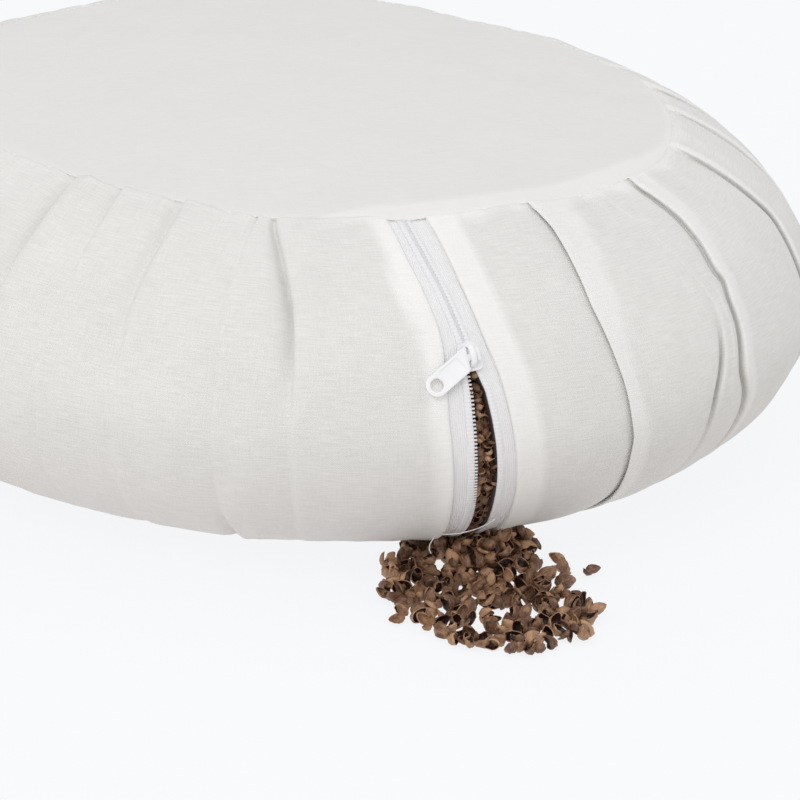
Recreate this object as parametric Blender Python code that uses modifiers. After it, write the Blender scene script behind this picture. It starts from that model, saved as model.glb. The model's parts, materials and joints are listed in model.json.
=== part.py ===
"""Zafu meditation cushion: a round, pleated floor cushion, its zip half open and some filling spilt.

Metres, +Z up. The origin is the centre of the underside, on the floor, and the zip faces -Y.
An azimuth is in degrees from -Y towards +X. A share of the side runs from 0 at the top seam,
over the bulge, to 1 where the cushion meets the floor.
"""

import math
import random
from collections import namedtuple

import bmesh
import bpy
import numpy as np
from mathutils import Euler, Matrix, Vector

MM = 0.001

# The stuffed cushion's outline.
GIRTH_RADIUS = 0.2000
GIRTH_HEIGHT = 0.0619
UPPER_RISE = 0.0714
UPPER_REACH_POWER = 3.97
UPPER_RISE_POWER = 1.71
LOWER_DROP = 0.0681
LOWER_REACH_POWER = 4.14
LOWER_DROP_POWER = 1.85
SEAM_RADIUS = 0.1396
BOTTOM_SEAM = 0.92
CROWN = 0.0060
CURVE_POINTS = 400

# The sheets and the gaps between pieces.
CLOTH = 1.2 * MM
GAP = 0.3 * MM
PANEL_INSET = 0.6 * MM
RECESS_INSET = 0.2 * MM
TOP_RINGS = (0.0, 60 * MM, 105 * MM, 128 * MM)
BOTTOM_RINGS = (0.0, 70 * MM)
PANEL_STEPS = 90
WAVE_FADE = 6
PUFF = 0.9 * MM

# The seam isn't drawn in evenly: each wave runs so many times round, so high, from a phase.
Wave = namedtuple("Wave", "turns height phase")
SEAM_WAVES = (
    Wave(5, 0.7 * MM, 0.4),
    Wave(9, 0.5 * MM, 2.1),
    Wave(14, 0.4 * MM, 4.0),
)

# Where the zip pulls the seam down, and where the cloth beside it rises: azimuth and spread in
# degrees.
Dip = namedtuple("Dip", "azimuth height spread")
SEAM_DIPS = (
    Dip(-3.4, -1.5 * MM, 3.4),
    Dip(13.0, 1.5 * MM, 9.0),
)

# Shares of the side at which its rows lie.
UPPER_ROWS = (0.0, 0.035, 0.09, 0.16, 0.23, 0.29, 0.33, 0.37, 0.42)
ROWS = (*UPPER_ROWS, 0.48, 0.54, 0.60, 0.68, 0.76, 0.84, BOTTOM_SEAM)

# Knife pleats: azimuths at the top seam, at the bulge and at the foot, depths in mm under the
# top seam, at the bulge and at the foot, and the width as a share of a full pleat.
Pleat = namedtuple("Pleat", "top bulge foot deep_top deep_bulge deep_foot width")
FRONT_PLEATS = (
    Pleat(-64.5, -63.0, -61.0, 3.2, 1.8, 1.2, 1.0),
    Pleat(-51.9, -51.3, -50.0, 2.8, 0.9, 0.7, 1.0),
    Pleat(-44.2, -43.6, -42.0, 1.4, 0.5, 0.6, 0.8),
    Pleat(-34.8, -35.0, -34.0, 2.4, 0.8, 0.6, 1.0),
    Pleat(-28.2, -26.5, -22.9, 0.8, 0.3, 2.8, 0.6),
    Pleat(-21.9, -17.1, -14.5, 3.4, 1.8, 0.3, 0.9),
    Pleat(16.1, 17.4, 21.5, 3.0, 2.2, 2.6, 1.0),
    Pleat(32.5, 31.4, 32.0, 0.4, 2.4, 1.0, 0.6),
    Pleat(39.3, 36.3, 41.0, 3.4, 3.6, 2.0, 0.9),
    Pleat(60.3, 54.8, 54.0, 3.2, 2.6, 1.5, 1.0),
)
REAR_PLEATS = 17
REAR_FIRST = 77.0
REAR_LAST = 281.0
REAR_STRAY = 1.6
PLEAT_SEED = 11
PLEAT_SHARES = (0.0, 0.42, 0.90)
DEPTH_SHARES = (0.0, 0.09, 0.42, 0.80, BOTTOM_SEAM)
SEAM_DEPTH = 0.15
FOOT_DEPTH = 0.35

# Across a full pleat, from the soft side to the stripe of doubled cloth: the place beside the
# fold's edge, the same in the seams, which lay the fold flat, and the depth as a share of the
# pleat's own.
Line = namedtuple("Line", "across sewn share")
PLEAT_SECTION = (
    Line(-8.5 * MM, -8.5 * MM, 0.0),
    Line(-3.0 * MM, -3.0 * MM, 0.45),
    Line(2.6 * MM, -0.3 * MM, 1.0),
    Line(-0.4 * MM, 0.3 * MM, -0.20),
    Line(4.4 * MM, 4.4 * MM, -0.16),
    Line(9.0 * MM, 9.0 * MM, 0.0),
)
OPEN_SHARES = (0.0, 0.09, 0.76, BOTTOM_SEAM)
PLAIN_STEP = 7.0

# The zip down the side: its middle's azimuth, and the width of its channel, of the opening
# between the coils and the depth of the pocket behind the opening, all at shares of the side.
Stop = namedtuple("Stop", "share azimuth channel opening pocket")
ZIP_STOPS = (
    Stop(0.00, -3.25, 14.4 * MM, 0.0, 0.0),
    Stop(0.155, -1.6, 15.2 * MM, 0.0, 0.0),
    Stop(0.29, 0.0, 16.2 * MM, 0.0, 0.0),
    Stop(0.33, 0.3, 18.4 * MM, 2.4 * MM, 6.0 * MM),
    Stop(0.37, 0.7, 20.8 * MM, 4.8 * MM, 9.0 * MM),
    Stop(0.42, 1.0, 22.2 * MM, 6.3 * MM, 9.0 * MM),
    Stop(0.48, 1.5, 23.0 * MM, 7.4 * MM, 9.0 * MM),
    Stop(0.54, 2.1, 23.2 * MM, 7.7 * MM, 9.0 * MM),
    Stop(0.60, 2.75, 23.7 * MM, 7.4 * MM, 9.0 * MM),
    Stop(0.68, 3.65, 23.4 * MM, 7.4 * MM, 9.0 * MM),
    Stop(0.76, 4.4, 22.6 * MM, 6.8 * MM, 8.0 * MM),
    Stop(0.84, 4.95, 20.4 * MM, 4.4 * MM, 6.0 * MM),
    Stop(0.92, 5.2, 16.6 * MM, 0.0, 0.0),
)
CHANNEL_DEPTH = 2.2 * MM
CHANNEL_LIP = 0.6 * MM
CHANNEL_SPREAD = 9.0 * MM
CLOSED_POCKET = 1.0 * MM
POCKET_TAPER = 0.98
TAPE_THICK = 1.0 * MM
TAPE_TOP = -0.9 * MM
COIL_WIDTH = 2.0 * MM
COIL_TOP = 0.5 * MM
COIL_SIDES = 6
ZIP_START = 0.003
ZIP_END = 0.905
ZIP_STEPS = 24

# The filling in the opening.
FILL_START = 0.345
FILL_END = 0.83
FILL_TOP = -2.6 * MM
FILL_LUMP = 1.1 * MM
FILL_ALONG = 26
FILL_ACROSS = 3
FILL_SEED = 3

# The slider, in its own frame: +X to the right, +Y up the zip, +Z out of the cloth.
SLIDER_SHARE = 0.310
SLIDER_LENGTH = 10.0 * MM
SLIDER_TOP_WIDTH = 6.8 * MM
SLIDER_FOOT_WIDTH = 8.2 * MM
SLIDER_PLATE = 1.0 * MM
SLIDER_LIFT = COIL_TOP + 0.45 * MM
SLIDER_CORNER = 2.2 * MM
FLANGE_THICK = 0.75 * MM
FLANGE_DROP = 1.0 * MM
DIVIDER_WIDTH = 0.9 * MM
DIVIDER_LENGTH = 2.0 * MM
DIVIDER_DROP = 2.2 * MM
BRIDGE_LENGTH = 8.0 * MM
BRIDGE_HEIGHT = 3.5 * MM
BRIDGE_RADIUS = 0.65 * MM
BRIDGE_WIDTH = 2.2 * MM
BRIDGE_SHOULDER = 0.8 * MM

# The pull tab, in its own frame: +X along the tab from the bridge to the eye. It is turned from
# the slider's +X, and its near end is cut along the slider.
PULL_TURN = 208.0
PULL_DIP = 6.0
PULL_LIFT = 0.9 * MM
PULL_REACH = 19.8 * MM
PULL_WIDTH = 7.6 * MM
PULL_THICK = 1.1 * MM
PULL_BESIDE = 1.6 * MM
PULL_CORNER = 1.0 * MM
PULL_END_RADIUS = 3.65 * MM
NECK_WIDTH = 2.2 * MM
NECK_THICK = 1.0 * MM
NECK_REACH = 2.6 * MM
HEAD_WIDTH = 1.3 * MM
HEAD_LENGTH = 4.6 * MM
EYE_RADIUS = 2.5 * MM
EYE_BORDER = 1.25 * MM
EYE_SIDES = 20

# The spilt hulls. The heap's edge on the floor, and its bare places, by azimuth and reach.
Spot = namedtuple("Spot", "azimuth reach")
HEAP_EDGE = (
    Spot(13.5, 152 * MM),
    Spot(13.3, 170 * MM),
    Spot(12.6, 186 * MM),
    Spot(13.4, 200 * MM),
    Spot(12.3, 214 * MM),
    Spot(11.6, 222 * MM),
    Spot(9.0, 229 * MM),
    Spot(6.3, 229 * MM),
    Spot(4.0, 235 * MM),
    Spot(0.8, 231 * MM),
    Spot(-2.4, 220 * MM),
    Spot(-5.6, 203 * MM),
    Spot(-6.4, 186 * MM),
    Spot(-5.8, 168 * MM),
    Spot(-3.0, 157 * MM),
    Spot(1.5, 150 * MM),
)
Bare = namedtuple("Bare", "azimuth reach radius")
BARE_PLACES = (
    Bare(3.1, 205 * MM, 4.0 * MM),
    Bare(6.4, 208 * MM, 4.8 * MM),
    Bare(0.2, 216 * MM, 3.2 * MM),
    Bare(1.6, 171 * MM, 2.2 * MM),
    Bare(-0.8, 188 * MM, 2.4 * MM),
)
HEAP_THICK = 1.6 * MM
FALL_AZIMUTH = 6.8
FALL_REACH = 160 * MM
FALL_WIDTH = 25 * MM
FALL_DEPTH = 23 * MM
FALL_HEIGHT = 18 * MM
HULL_LENGTH = 5.9 * MM
HULL_WIDTH = 4.9 * MM
HULL_SIDES = 3
HULL_RINGS = 3
HULL_SMALLEST = 0.85
HULL_LARGEST = 1.15
HULL_SPACING = 4.7 * MM
HULL_TRIES = 6000
HULL_STRAY = 0.6 * MM
HULL_SEED = 21
BARE_MARGIN = 1.5 * MM
BARE_SIDES = 8
CUSHION_CLEARANCE = 0.9 * MM
CLEARANCE_STEPS = 72
UNDER_FLOOR = 4.0 * MM
FLOOR_BLOCK = 300 * MM
LOOSE_HULLS = (
    Spot(15.0, 184 * MM),
    Spot(16.2, 179 * MM),
    Spot(16.8, 189 * MM),
)

# The stray thread: where it lies on the side, then where it hangs down to the heap.
THREAD_THICK = 0.36 * MM
THREAD_LIFT = 1.35 * MM
Lie = namedtuple("Lie", "azimuth share")
THREAD_ON_SIDE = (
    Lie(4.9, 0.655),
    Lie(4.4, 0.677),
    Lie(3.6, 0.698),
    Lie(2.3, 0.714),
    Lie(0.9, 0.716),
)
Drop = namedtuple("Drop", "azimuth reach height")
THREAD_DROP = (
    Drop(0.0, 175 * MM, 18.6 * MM),
    Drop(-0.4, 174 * MM, 16.0 * MM),
    Drop(-0.7, 174 * MM, 13.6 * MM),
    Drop(-0.5, 175 * MM, 11.6 * MM),
)
THREAD_POINTS = 20
THREAD_FINENESS = 12

# Viewport finish of each material: colour, roughness and metallic value.
Finish = namedtuple("Finish", "name colour roughness metallic")
COTTON = Finish("natural_cotton", (0.83, 0.82, 0.81), 0.95, 0.0)
TAPE_CLOTH = Finish("zip_tape", (0.88, 0.88, 0.90), 0.85, 0.0)
NYLON = Finish("nylon_coil", (0.90, 0.90, 0.92), 0.40, 0.0)
ENAMEL = Finish("white_enamel", (0.90, 0.90, 0.93), 0.35, 0.2)
HULL_SKIN = Finish("buckwheat_hull", (0.20, 0.12, 0.07), 0.75, 0.0)
THREAD = Finish("sewing_thread", (0.92, 0.92, 0.90), 0.80, 0.0)


# --- The side's curve -------------------------------------------------------------------


def superellipse(turns, across, rise, reach_power, rise_power):
    """Radii and heights over the girth for angles that run from 0 at the girth."""
    radii = across * np.cos(turns) ** (2 / reach_power)
    heights = rise * np.sin(turns) ** (2 / rise_power)
    return radii, heights


def side_curve():
    """The side from the top seam down to the floor: radii, heights and shares of its length."""
    seam_turn = math.acos((SEAM_RADIUS / GIRTH_RADIUS) ** (UPPER_REACH_POWER / 2))
    floor_turn = math.asin((GIRTH_HEIGHT / LOWER_DROP) ** (LOWER_DROP_POWER / 2))
    upper = np.linspace(seam_turn, 0, CURVE_POINTS)
    lower = np.linspace(0, floor_turn, CURVE_POINTS)[1:]
    upper_r, rise = superellipse(upper, GIRTH_RADIUS, UPPER_RISE, UPPER_REACH_POWER, UPPER_RISE_POWER)
    lower_r, drop = superellipse(lower, GIRTH_RADIUS, LOWER_DROP, LOWER_REACH_POWER, LOWER_DROP_POWER)
    radii = np.concatenate([upper_r, lower_r])
    heights = np.concatenate([GIRTH_HEIGHT + rise, GIRTH_HEIGHT - drop])
    steps = np.hypot(np.diff(radii), np.diff(heights))
    length = np.concatenate([[0], np.cumsum(steps)])
    return radii, heights, length / length[-1], length[-1]


SIDE_RADII, SIDE_HEIGHTS, SIDE_SHARES, SIDE_LENGTH = side_curve()
SEAM_HEIGHT = float(SIDE_HEIGHTS[0])
FLOOR_RADIUS = float(SIDE_RADII[-1])


def side_point(share):
    """Radius and height of the even side at a share of its length."""
    radius = float(np.interp(share, SIDE_SHARES, SIDE_RADII))
    height = float(np.interp(share, SIDE_SHARES, SIDE_HEIGHTS))
    return radius, height


def side_normal(share):
    """The side's outward direction, as its part away from the axis and its part upwards."""
    reach = 0.01
    above = side_point(max(share - reach, 0.0))
    below = side_point(min(share + reach, 1.0))
    away = above[1] - below[1]
    up = below[0] - above[0]
    size = math.hypot(away, up)
    return away / size, up / size


def seam_wave(azimuth):
    """How far the drawn-in seam strays from its even ring at an azimuth."""
    turn = math.radians(azimuth)
    waves = sum(wave.height * math.sin(wave.turns * turn + wave.phase) for wave in SEAM_WAVES)
    apart = (azimuth + 180.0) % 360.0 - 180.0
    return waves + sum(dip.height * math.exp(-(((apart - dip.azimuth) / dip.spread) ** 2)) for dip in SEAM_DIPS)


def around(azimuth, radius, height):
    """The point at an azimuth, a radius and a height."""
    turn = math.radians(azimuth)
    return Vector((radius * math.sin(turn), -radius * math.cos(turn), height))


def on_side(azimuth, share, lift):
    """The point of the side at an azimuth and a share of its length, lifted off it."""
    radius, height = side_point(share)
    away, up = side_normal(share)
    near_seam = max(0.0, 1.0 - share / ROWS[3])
    wave = seam_wave(azimuth) * near_seam
    return around(azimuth, radius + away * lift, height + up * lift + wave)


def degrees_across(distance, share):
    """The azimuth that a distance round the side takes up."""
    return math.degrees(distance / side_point(share)[0])


# --- The pleats and the zip's channel ---------------------------------------------------


def rear_pleats():
    """The pleats of the sides and the back, evenly spread but for a small stray."""
    draw = random.Random(PLEAT_SEED)
    pleats = []
    for number in range(REAR_PLEATS):
        azimuth = REAR_FIRST + (REAR_LAST - REAR_FIRST) * number / (REAR_PLEATS - 1)
        top = azimuth + draw.uniform(-REAR_STRAY, REAR_STRAY)
        bulge = top + draw.uniform(-REAR_STRAY, REAR_STRAY)
        foot = bulge + draw.uniform(-REAR_STRAY, REAR_STRAY)
        deep_top = draw.uniform(2.4, 3.6)
        deep_bulge = draw.uniform(0.6, 3.0)
        deep_foot = draw.uniform(0.6, 2.4)
        pleats.append(Pleat(top, bulge, foot, deep_top, deep_bulge, deep_foot, 1.0))
    return pleats


def pleat_depth(pleat, share):
    """A pleat's depth: shallow in the seams, which hold it shut."""
    depths = (
        SEAM_DEPTH * pleat.deep_top,
        pleat.deep_top,
        pleat.deep_bulge,
        pleat.deep_foot,
        FOOT_DEPTH * pleat.deep_foot,
    )
    return MM * float(np.interp(share, DEPTH_SHARES, depths))


def pleat_line(pleat, line):
    """The way that one line of a pleat's section runs down the side."""

    def place(share):
        middle = float(np.interp(share, PLEAT_SHARES, (pleat.top, pleat.bulge, pleat.foot)))
        across = float(np.interp(share, OPEN_SHARES, (line.sewn, line.across, line.across, line.sewn)))
        azimuth = middle + degrees_across(across * pleat.width, share)
        return azimuth, -pleat_depth(pleat, share) * line.share

    return place


def zip_size(name, share):
    """One of the zip's sizes at a share of the side."""
    shares = [stop.share for stop in ZIP_STOPS]
    return float(np.interp(share, shares, [getattr(stop, name) for stop in ZIP_STOPS]))


def zip_line(across, lift):
    """The way that a line of the zip runs down the side, from its place beside the middle."""

    def place(share):
        azimuth = zip_size("azimuth", share) + degrees_across(across(share), share)
        return azimuth, lift(share)

    return place


def channel_half(share):
    return zip_size("channel", share) / 2


def pocket_half(share):
    return max(zip_size("opening", share) / 2, CLOSED_POCKET)


def pocket_floor(share):
    return -CHANNEL_DEPTH - zip_size("pocket", share)


def channel_lines():
    """The zip's channel across, from the left fold of the cloth to the right one."""
    half = (
        (lambda share: channel_half(share) + CHANNEL_SPREAD, lambda share: 0.0),
        (channel_half, lambda share: CHANNEL_LIP),
        (channel_half, lambda share: -CHANNEL_DEPTH),
        (lambda share: pocket_half(share), lambda share: -CHANNEL_DEPTH),
        (lambda share: pocket_half(share) * POCKET_TAPER, pocket_floor),
    )
    left = [zip_line(lambda share, side=side: -side(share), lift) for side, lift in half]
    right = [zip_line(side, lift) for side, lift in reversed(half)]
    return left + right


def plain_lines(before, after, turn):
    """The lines of the plain cloth between two folds, which puffs out a little."""
    width = after(ROWS[0])[0] + turn - before(ROWS[0])[0]
    count = max(1, round(width / PLAIN_STEP))
    lines = []
    for number in range(1, count + 1):
        across = number / (count + 1)

        def place(share, across=across):
            start = before(share)[0]
            end = after(share)[0] + turn
            puff = PUFF * math.sin(math.pi * across) * math.sin(math.pi * min(share / BOTTOM_SEAM, 1.0))
            return start + (end - start) * across, puff

        lines.append(place)
    return lines


def body_lines():
    """Every line that runs down the side, once round the cushion."""
    folds = [[pleat_line(pleat, line) for line in PLEAT_SECTION] for pleat in FRONT_PLEATS]
    folds += [[pleat_line(pleat, line) for line in PLEAT_SECTION] for pleat in rear_pleats()]
    folds.append(channel_lines())
    folds.sort(key=lambda fold: fold[0](ROWS[0])[0])
    lines = []
    for number, fold in enumerate(folds):
        following = folds[(number + 1) % len(folds)]
        turn = 360.0 if number + 1 == len(folds) else 0.0
        lines += fold
        lines += plain_lines(fold[-1], following[0], turn)
    return lines


# --- Blender helpers --------------------------------------------------------------------


def clear_scene():
    for obj in list(bpy.data.objects):
        bpy.data.objects.remove(obj, do_unlink=True)


def new_collection(name):
    collection = bpy.data.collections.new(name)
    bpy.context.scene.collection.children.link(collection)
    return collection


def material(finish):
    """The material of a finish, made once."""
    found = bpy.data.materials.get(finish.name)
    if found:
        return found
    made = bpy.data.materials.new(finish.name)
    made.use_nodes = True
    shader = made.node_tree.nodes["Principled BSDF"]
    shader.inputs["Base Color"].default_value = (*finish.colour, 1.0)
    shader.inputs["Roughness"].default_value = finish.roughness
    shader.inputs["Metallic"].default_value = finish.metallic
    made.diffuse_color = (*finish.colour, 1.0)
    return made


def add_object(name, bm, collection, finish=None, smooth=True):
    """Turns a bmesh into a named object."""
    mesh = bpy.data.meshes.new(name)
    bm.to_mesh(mesh)
    bm.free()
    if finish:
        mesh.materials.append(material(finish))
    if smooth:
        mesh.shade_smooth()
        mesh.set_sharp_from_angle(angle=math.radians(35))
    obj = bpy.data.objects.new(name, mesh)
    collection.objects.link(obj)
    return obj


def add_cutter(name, bm, cutters):
    """A helper shape that the finished part doesn't hold."""
    obj = add_object(name, bm, cutters, smooth=False)
    obj.hide_render = True
    obj.display_type = "WIRE"
    return obj


def boolean(obj, other, operation):
    """Adds an exact Boolean of another object."""
    modifier = obj.modifiers.new(f"{operation.lower()}_{other.name}", "BOOLEAN")
    modifier.operation = operation
    modifier.solver = "EXACT"
    modifier.use_self = operation == "UNION"
    modifier.object = other


def profile_object(name, points, collection):
    """An open profile at +X, as points of radius and height."""
    bm = bmesh.new()
    verts = [bm.verts.new((radius, 0.0, height)) for radius, height in points]
    for first, second in zip(verts, verts[1:]):
        bm.edges.new((first, second))
    mesh = bpy.data.meshes.new(name)
    bm.to_mesh(mesh)
    bm.free()
    obj = bpy.data.objects.new(name, mesh)
    collection.objects.link(obj)
    return obj


def add_screw(obj, steps):
    """Turns a profile once round the Z axis."""
    screw = obj.modifiers.new("turn", "SCREW")
    screw.axis = "Z"
    screw.angle = math.tau
    screw.steps = steps
    screw.render_steps = steps
    screw.use_merge_vertices = True
    screw.merge_threshold = 0.0001
    screw.use_smooth_shade = True


def turned_bmesh(points, steps):
    """The turned shape of a profile, as a bmesh to be worked on."""
    obj = profile_object("profile", points, bpy.context.scene.collection)
    add_screw(obj, steps)
    graph = bpy.context.evaluated_depsgraph_get()
    mesh = bpy.data.meshes.new_from_object(obj.evaluated_get(graph))
    bm = bmesh.new()
    bm.from_mesh(mesh)
    bpy.data.objects.remove(obj, do_unlink=True)
    bpy.data.meshes.remove(mesh)
    return bm


# --- The filled body and its panels -----------------------------------------------------


def panel_height(radius):
    """The top panel's height over the floor, crowned over the filling."""
    return SEAM_HEIGHT + CROWN * (1 - (radius / SEAM_RADIUS) ** 2)


def bottom_height(radius):
    """The underside's height over the floor: flat in the middle, curling up to its seam."""
    if radius <= FLOOR_RADIUS:
        return 0.0
    seam_height = side_point(BOTTOM_SEAM)[1]
    seam_radius = side_point(BOTTOM_SEAM)[0]
    return seam_height * (radius - FLOOR_RADIUS) / (seam_radius - FLOOR_RADIUS)


def body_profile():
    """The body's profile: the bed of the top panel, the side, and the bed of the bottom panel."""
    bed = CLOTH + GAP
    top_edge = side_point(0.0)
    foot_edge = side_point(BOTTOM_SEAM)
    points = [(0.0, panel_height(0.0) - bed)]
    points.append((top_edge[0] - RECESS_INSET, top_edge[1] - bed))
    points += [side_point(share) for share in ROWS]
    points.append((foot_edge[0] - RECESS_INSET, foot_edge[1] + bed))
    points.append((FLOOR_RADIUS, bed))
    points.append((0.0, bed))
    return points


def bed_edge(line, share, point):
    """A point of the ring round a panel's bed, kept inside the side and the zip's channel."""
    azimuth, lift = line(share)
    aside = abs(azimuth - zip_size("azimuth", share))
    if aside < degrees_across(channel_half(share) + GAP, share):
        lift = -CHANNEL_DEPTH
    edge = on_side(azimuth, share, lift)
    radius = min(point[0], math.hypot(edge.x, edge.y) - RECESS_INSET)
    height = point[1] + seam_wave(azimuth)
    if share == BOTTOM_SEAM:
        height = max(point[1], edge.z + RECESS_INSET)
    return around(azimuth, radius, height)


def add_body(collection):
    """The filled body: a turned shape, its lines then moved to the pleats and the zip's channel."""
    lines = body_lines()
    profile = body_profile()
    bm = turned_bmesh(profile, len(lines))
    side_rows = range(2, 2 + len(ROWS))
    for vert in bm.verts:
        radius = math.hypot(vert.co.x, vert.co.y)
        if radius < MM:
            continue
        away = [math.hypot(point[0] - radius, point[1] - vert.co.z) for point in profile]
        row = away.index(min(away))
        turn = math.degrees(math.atan2(vert.co.x, -vert.co.y)) % 360.0
        line = lines[round(turn / 360.0 * len(lines)) % len(lines)]
        if row in side_rows:
            share = ROWS[row - side_rows[0]]
            azimuth, lift = line(share)
            vert.co = on_side(azimuth, share, lift)
            continue
        share = ROWS[0] if row < side_rows[0] else BOTTOM_SEAM
        if row in (side_rows[0] - 1, side_rows[-1] + 1):
            vert.co = bed_edge(line, share, profile[row])
            continue
        vert.co = around(line(share)[0], radius, profile[row][1])
    return add_object("cushion_body", bm, collection, COTTON)


def add_panel(name, radii, height, collection, wave_share, thicken_up):
    """A round panel: a turned open sheet, waved with its seam, then given its thickness."""
    points = [(radius, height(radius)) for radius in radii]
    bm = turned_bmesh(points, PANEL_STEPS)
    for vert in bm.verts:
        radius = math.hypot(vert.co.x, vert.co.y)
        azimuth = math.degrees(math.atan2(vert.co.x, -vert.co.y))
        near_rim = (radius / SEAM_RADIUS) ** WAVE_FADE
        vert.co.z += wave_share * seam_wave(azimuth) * near_rim
    obj = add_object(name, bm, collection, COTTON)
    faces_up = obj.data.polygons[0].normal.z > 0
    solidify = obj.modifiers.new("cloth", "SOLIDIFY")
    solidify.thickness = CLOTH
    solidify.offset = 1.0 if faces_up == thicken_up else -1.0
    return obj


def add_panels(collection):
    rim = SEAM_RADIUS - PANEL_INSET
    foot_rim = side_point(BOTTOM_SEAM)[0] - PANEL_INSET
    add_panel("top_panel", (*TOP_RINGS, rim), panel_height, collection, 1.0, False)
    add_panel("bottom_panel", (*BOTTOM_RINGS, FLOOR_RADIUS, foot_rim), bottom_height, collection, 0.0, True)


# --- The zip ----------------------------------------------------------------------------


def add_strip(name, bm, sides, lifts, collection, finish):
    """Wraps a strip on the side. Its bmesh spans -1 to 1 to the right, up the zip and outwards."""
    left, right = sides
    bottom, top = lifts
    for vert in bm.verts:
        across = (1 + vert.co.x) / 2
        along = (1 - vert.co.y) / 2
        through = (1 + vert.co.z) / 2
        share = ZIP_START + (ZIP_END - ZIP_START) * along
        place = left(share) * (1 - across) + right(share) * across
        azimuth = zip_size("azimuth", share) + degrees_across(place, share)
        vert.co = on_side(azimuth, share, bottom + (top - bottom) * through)
    return add_object(name, bm, collection, finish)


def slice_along(bm, steps):
    """Cuts a strip into equal steps along Y."""
    for number in range(1, steps):
        geometry = bm.verts[:] + bm.edges[:] + bm.faces[:]
        place = Vector((0.0, 2 * number / steps - 1, 0.0))
        bmesh.ops.bisect_plane(bm, geom=geometry, plane_co=place, plane_no=(0.0, 1.0, 0.0))


def tape_bmesh():
    bm = bmesh.new()
    bmesh.ops.create_cube(bm, size=2.0)
    slice_along(bm, ZIP_STEPS)
    return bm


def coil_bmesh():
    """A bar along Y with a rounded section."""
    bm = bmesh.new()
    lie = Matrix.Rotation(math.radians(90), 4, "X")
    size = {"radius1": 1.0, "radius2": 1.0, "depth": 2.0}
    bmesh.ops.create_cone(bm, cap_ends=True, segments=COIL_SIDES, matrix=lie, **size)
    tall = max(vert.co.z for vert in bm.verts)
    for vert in bm.verts:
        vert.co.z /= tall
    slice_along(bm, ZIP_STEPS)
    return bm


def coil_inner(share):
    """How far a coil's teeth are from the zip's middle."""
    return max(zip_size("opening", share) / 2, GAP / 2)


def add_zip_sides(collection):
    """The tape and the coil of each side. They meet above the slider and part below it."""
    for name, side in (("left", -1), ("right", 1)):

        def tape_inner(share, side=side):
            return side * coil_inner(share)

        def tape_outer(share, side=side):
            return side * (channel_half(share) - GAP)

        def coil_outer(share, side=side):
            return side * (coil_inner(share) + COIL_WIDTH)

        tape_sides = (tape_outer, tape_inner) if side < 0 else (tape_inner, tape_outer)
        coil_sides = (coil_outer, tape_inner) if side < 0 else (tape_inner, coil_outer)
        tape_lift = (TAPE_TOP - TAPE_THICK, TAPE_TOP)
        coil_lift = (TAPE_TOP + GAP, COIL_TOP)
        add_strip(f"zip_tape_{name}", tape_bmesh(), tape_sides, tape_lift, collection, TAPE_CLOTH)
        add_strip(f"zip_coil_{name}", coil_bmesh(), coil_sides, coil_lift, collection, NYLON)


def slider_frame():
    """The slider's own frame: +X to the right, +Y up the zip, +Z out of the cloth."""
    step = 0.01

    def middle(share):
        return on_side(zip_size("azimuth", share), share, 0.0)

    origin = middle(SLIDER_SHARE)
    up_zip = (middle(SLIDER_SHARE - step) - middle(SLIDER_SHARE + step)).normalized()
    beside = on_side(zip_size("azimuth", SLIDER_SHARE) + 1.0, SLIDER_SHARE, 0.0) - origin
    out = beside.cross(up_zip).normalized()
    right = up_zip.cross(out)
    frame = Matrix((right, up_zip, out)).transposed().to_4x4()
    return Matrix.Translation(origin) @ frame


def add_box(bm, low, high):
    """A box between two corners."""
    middle = (Vector(low) + Vector(high)) / 2
    size = Vector(high) - Vector(low)
    matrix = Matrix.Translation(middle) @ Matrix.Diagonal((*size, 1.0))
    return bmesh.ops.create_cube(bm, size=1.0, matrix=matrix)["verts"]


def plate_bmesh(outline, bottom, top):
    """A plate from its outline."""
    bm = bmesh.new()
    verts = [bm.verts.new((x, y, bottom)) for x, y in outline]
    face = bm.faces.new(verts)
    raised = bmesh.ops.extrude_face_region(bm, geom=[face])
    lifted = [item for item in raised["geom"] if isinstance(item, bmesh.types.BMVert)]
    bmesh.ops.translate(bm, vec=(0.0, 0.0, top - bottom), verts=lifted)
    bmesh.ops.recalc_face_normals(bm, faces=bm.faces)
    return bm


def round_corners(bm, radius, steps, chosen):
    """Rounds the upright edges of a plate that stand at the chosen places."""
    upright = [edge for edge in bm.edges if abs(edge.verts[0].co.z - edge.verts[1].co.z) > GAP]
    corners = [edge for edge in upright if chosen(edge.verts[0].co)]
    bmesh.ops.bevel(bm, geom=corners, offset=radius, segments=steps, profile=0.5, affect="EDGES")


def bridge_mesh():
    """The bridge over the slider: a flattened bar bent into an arch."""
    curve = bpy.data.curves.new("bridge", "CURVE")
    curve.dimensions = "3D"
    curve.bevel_depth = BRIDGE_RADIUS
    curve.bevel_resolution = 1
    curve.use_fill_caps = True
    spline = curve.splines.new("POLY")
    half = BRIDGE_LENGTH / 2 - BRIDGE_RADIUS
    foot = SLIDER_LIFT + SLIDER_PLATE / 2
    crest = foot + BRIDGE_HEIGHT
    shoulder = crest - BRIDGE_SHOULDER
    flat = half - BRIDGE_SHOULDER
    route = ((-half, foot), (-half, shoulder), (-flat, crest), (flat, crest), (half, shoulder), (half, foot))
    spline.points.add(len(route) - 1)
    for point, (along, height) in zip(spline.points, route):
        point.co = (0.0, along, height, 1.0)
    obj = bpy.data.objects.new("bridge", curve)
    bpy.context.scene.collection.objects.link(obj)
    graph = bpy.context.evaluated_depsgraph_get()
    mesh = bpy.data.meshes.new_from_object(obj.evaluated_get(graph))
    bpy.data.objects.remove(obj, do_unlink=True)
    mesh.transform(Matrix.Diagonal((BRIDGE_WIDTH / (2 * BRIDGE_RADIUS), 1.0, 1.0, 1.0)))
    return mesh


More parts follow.
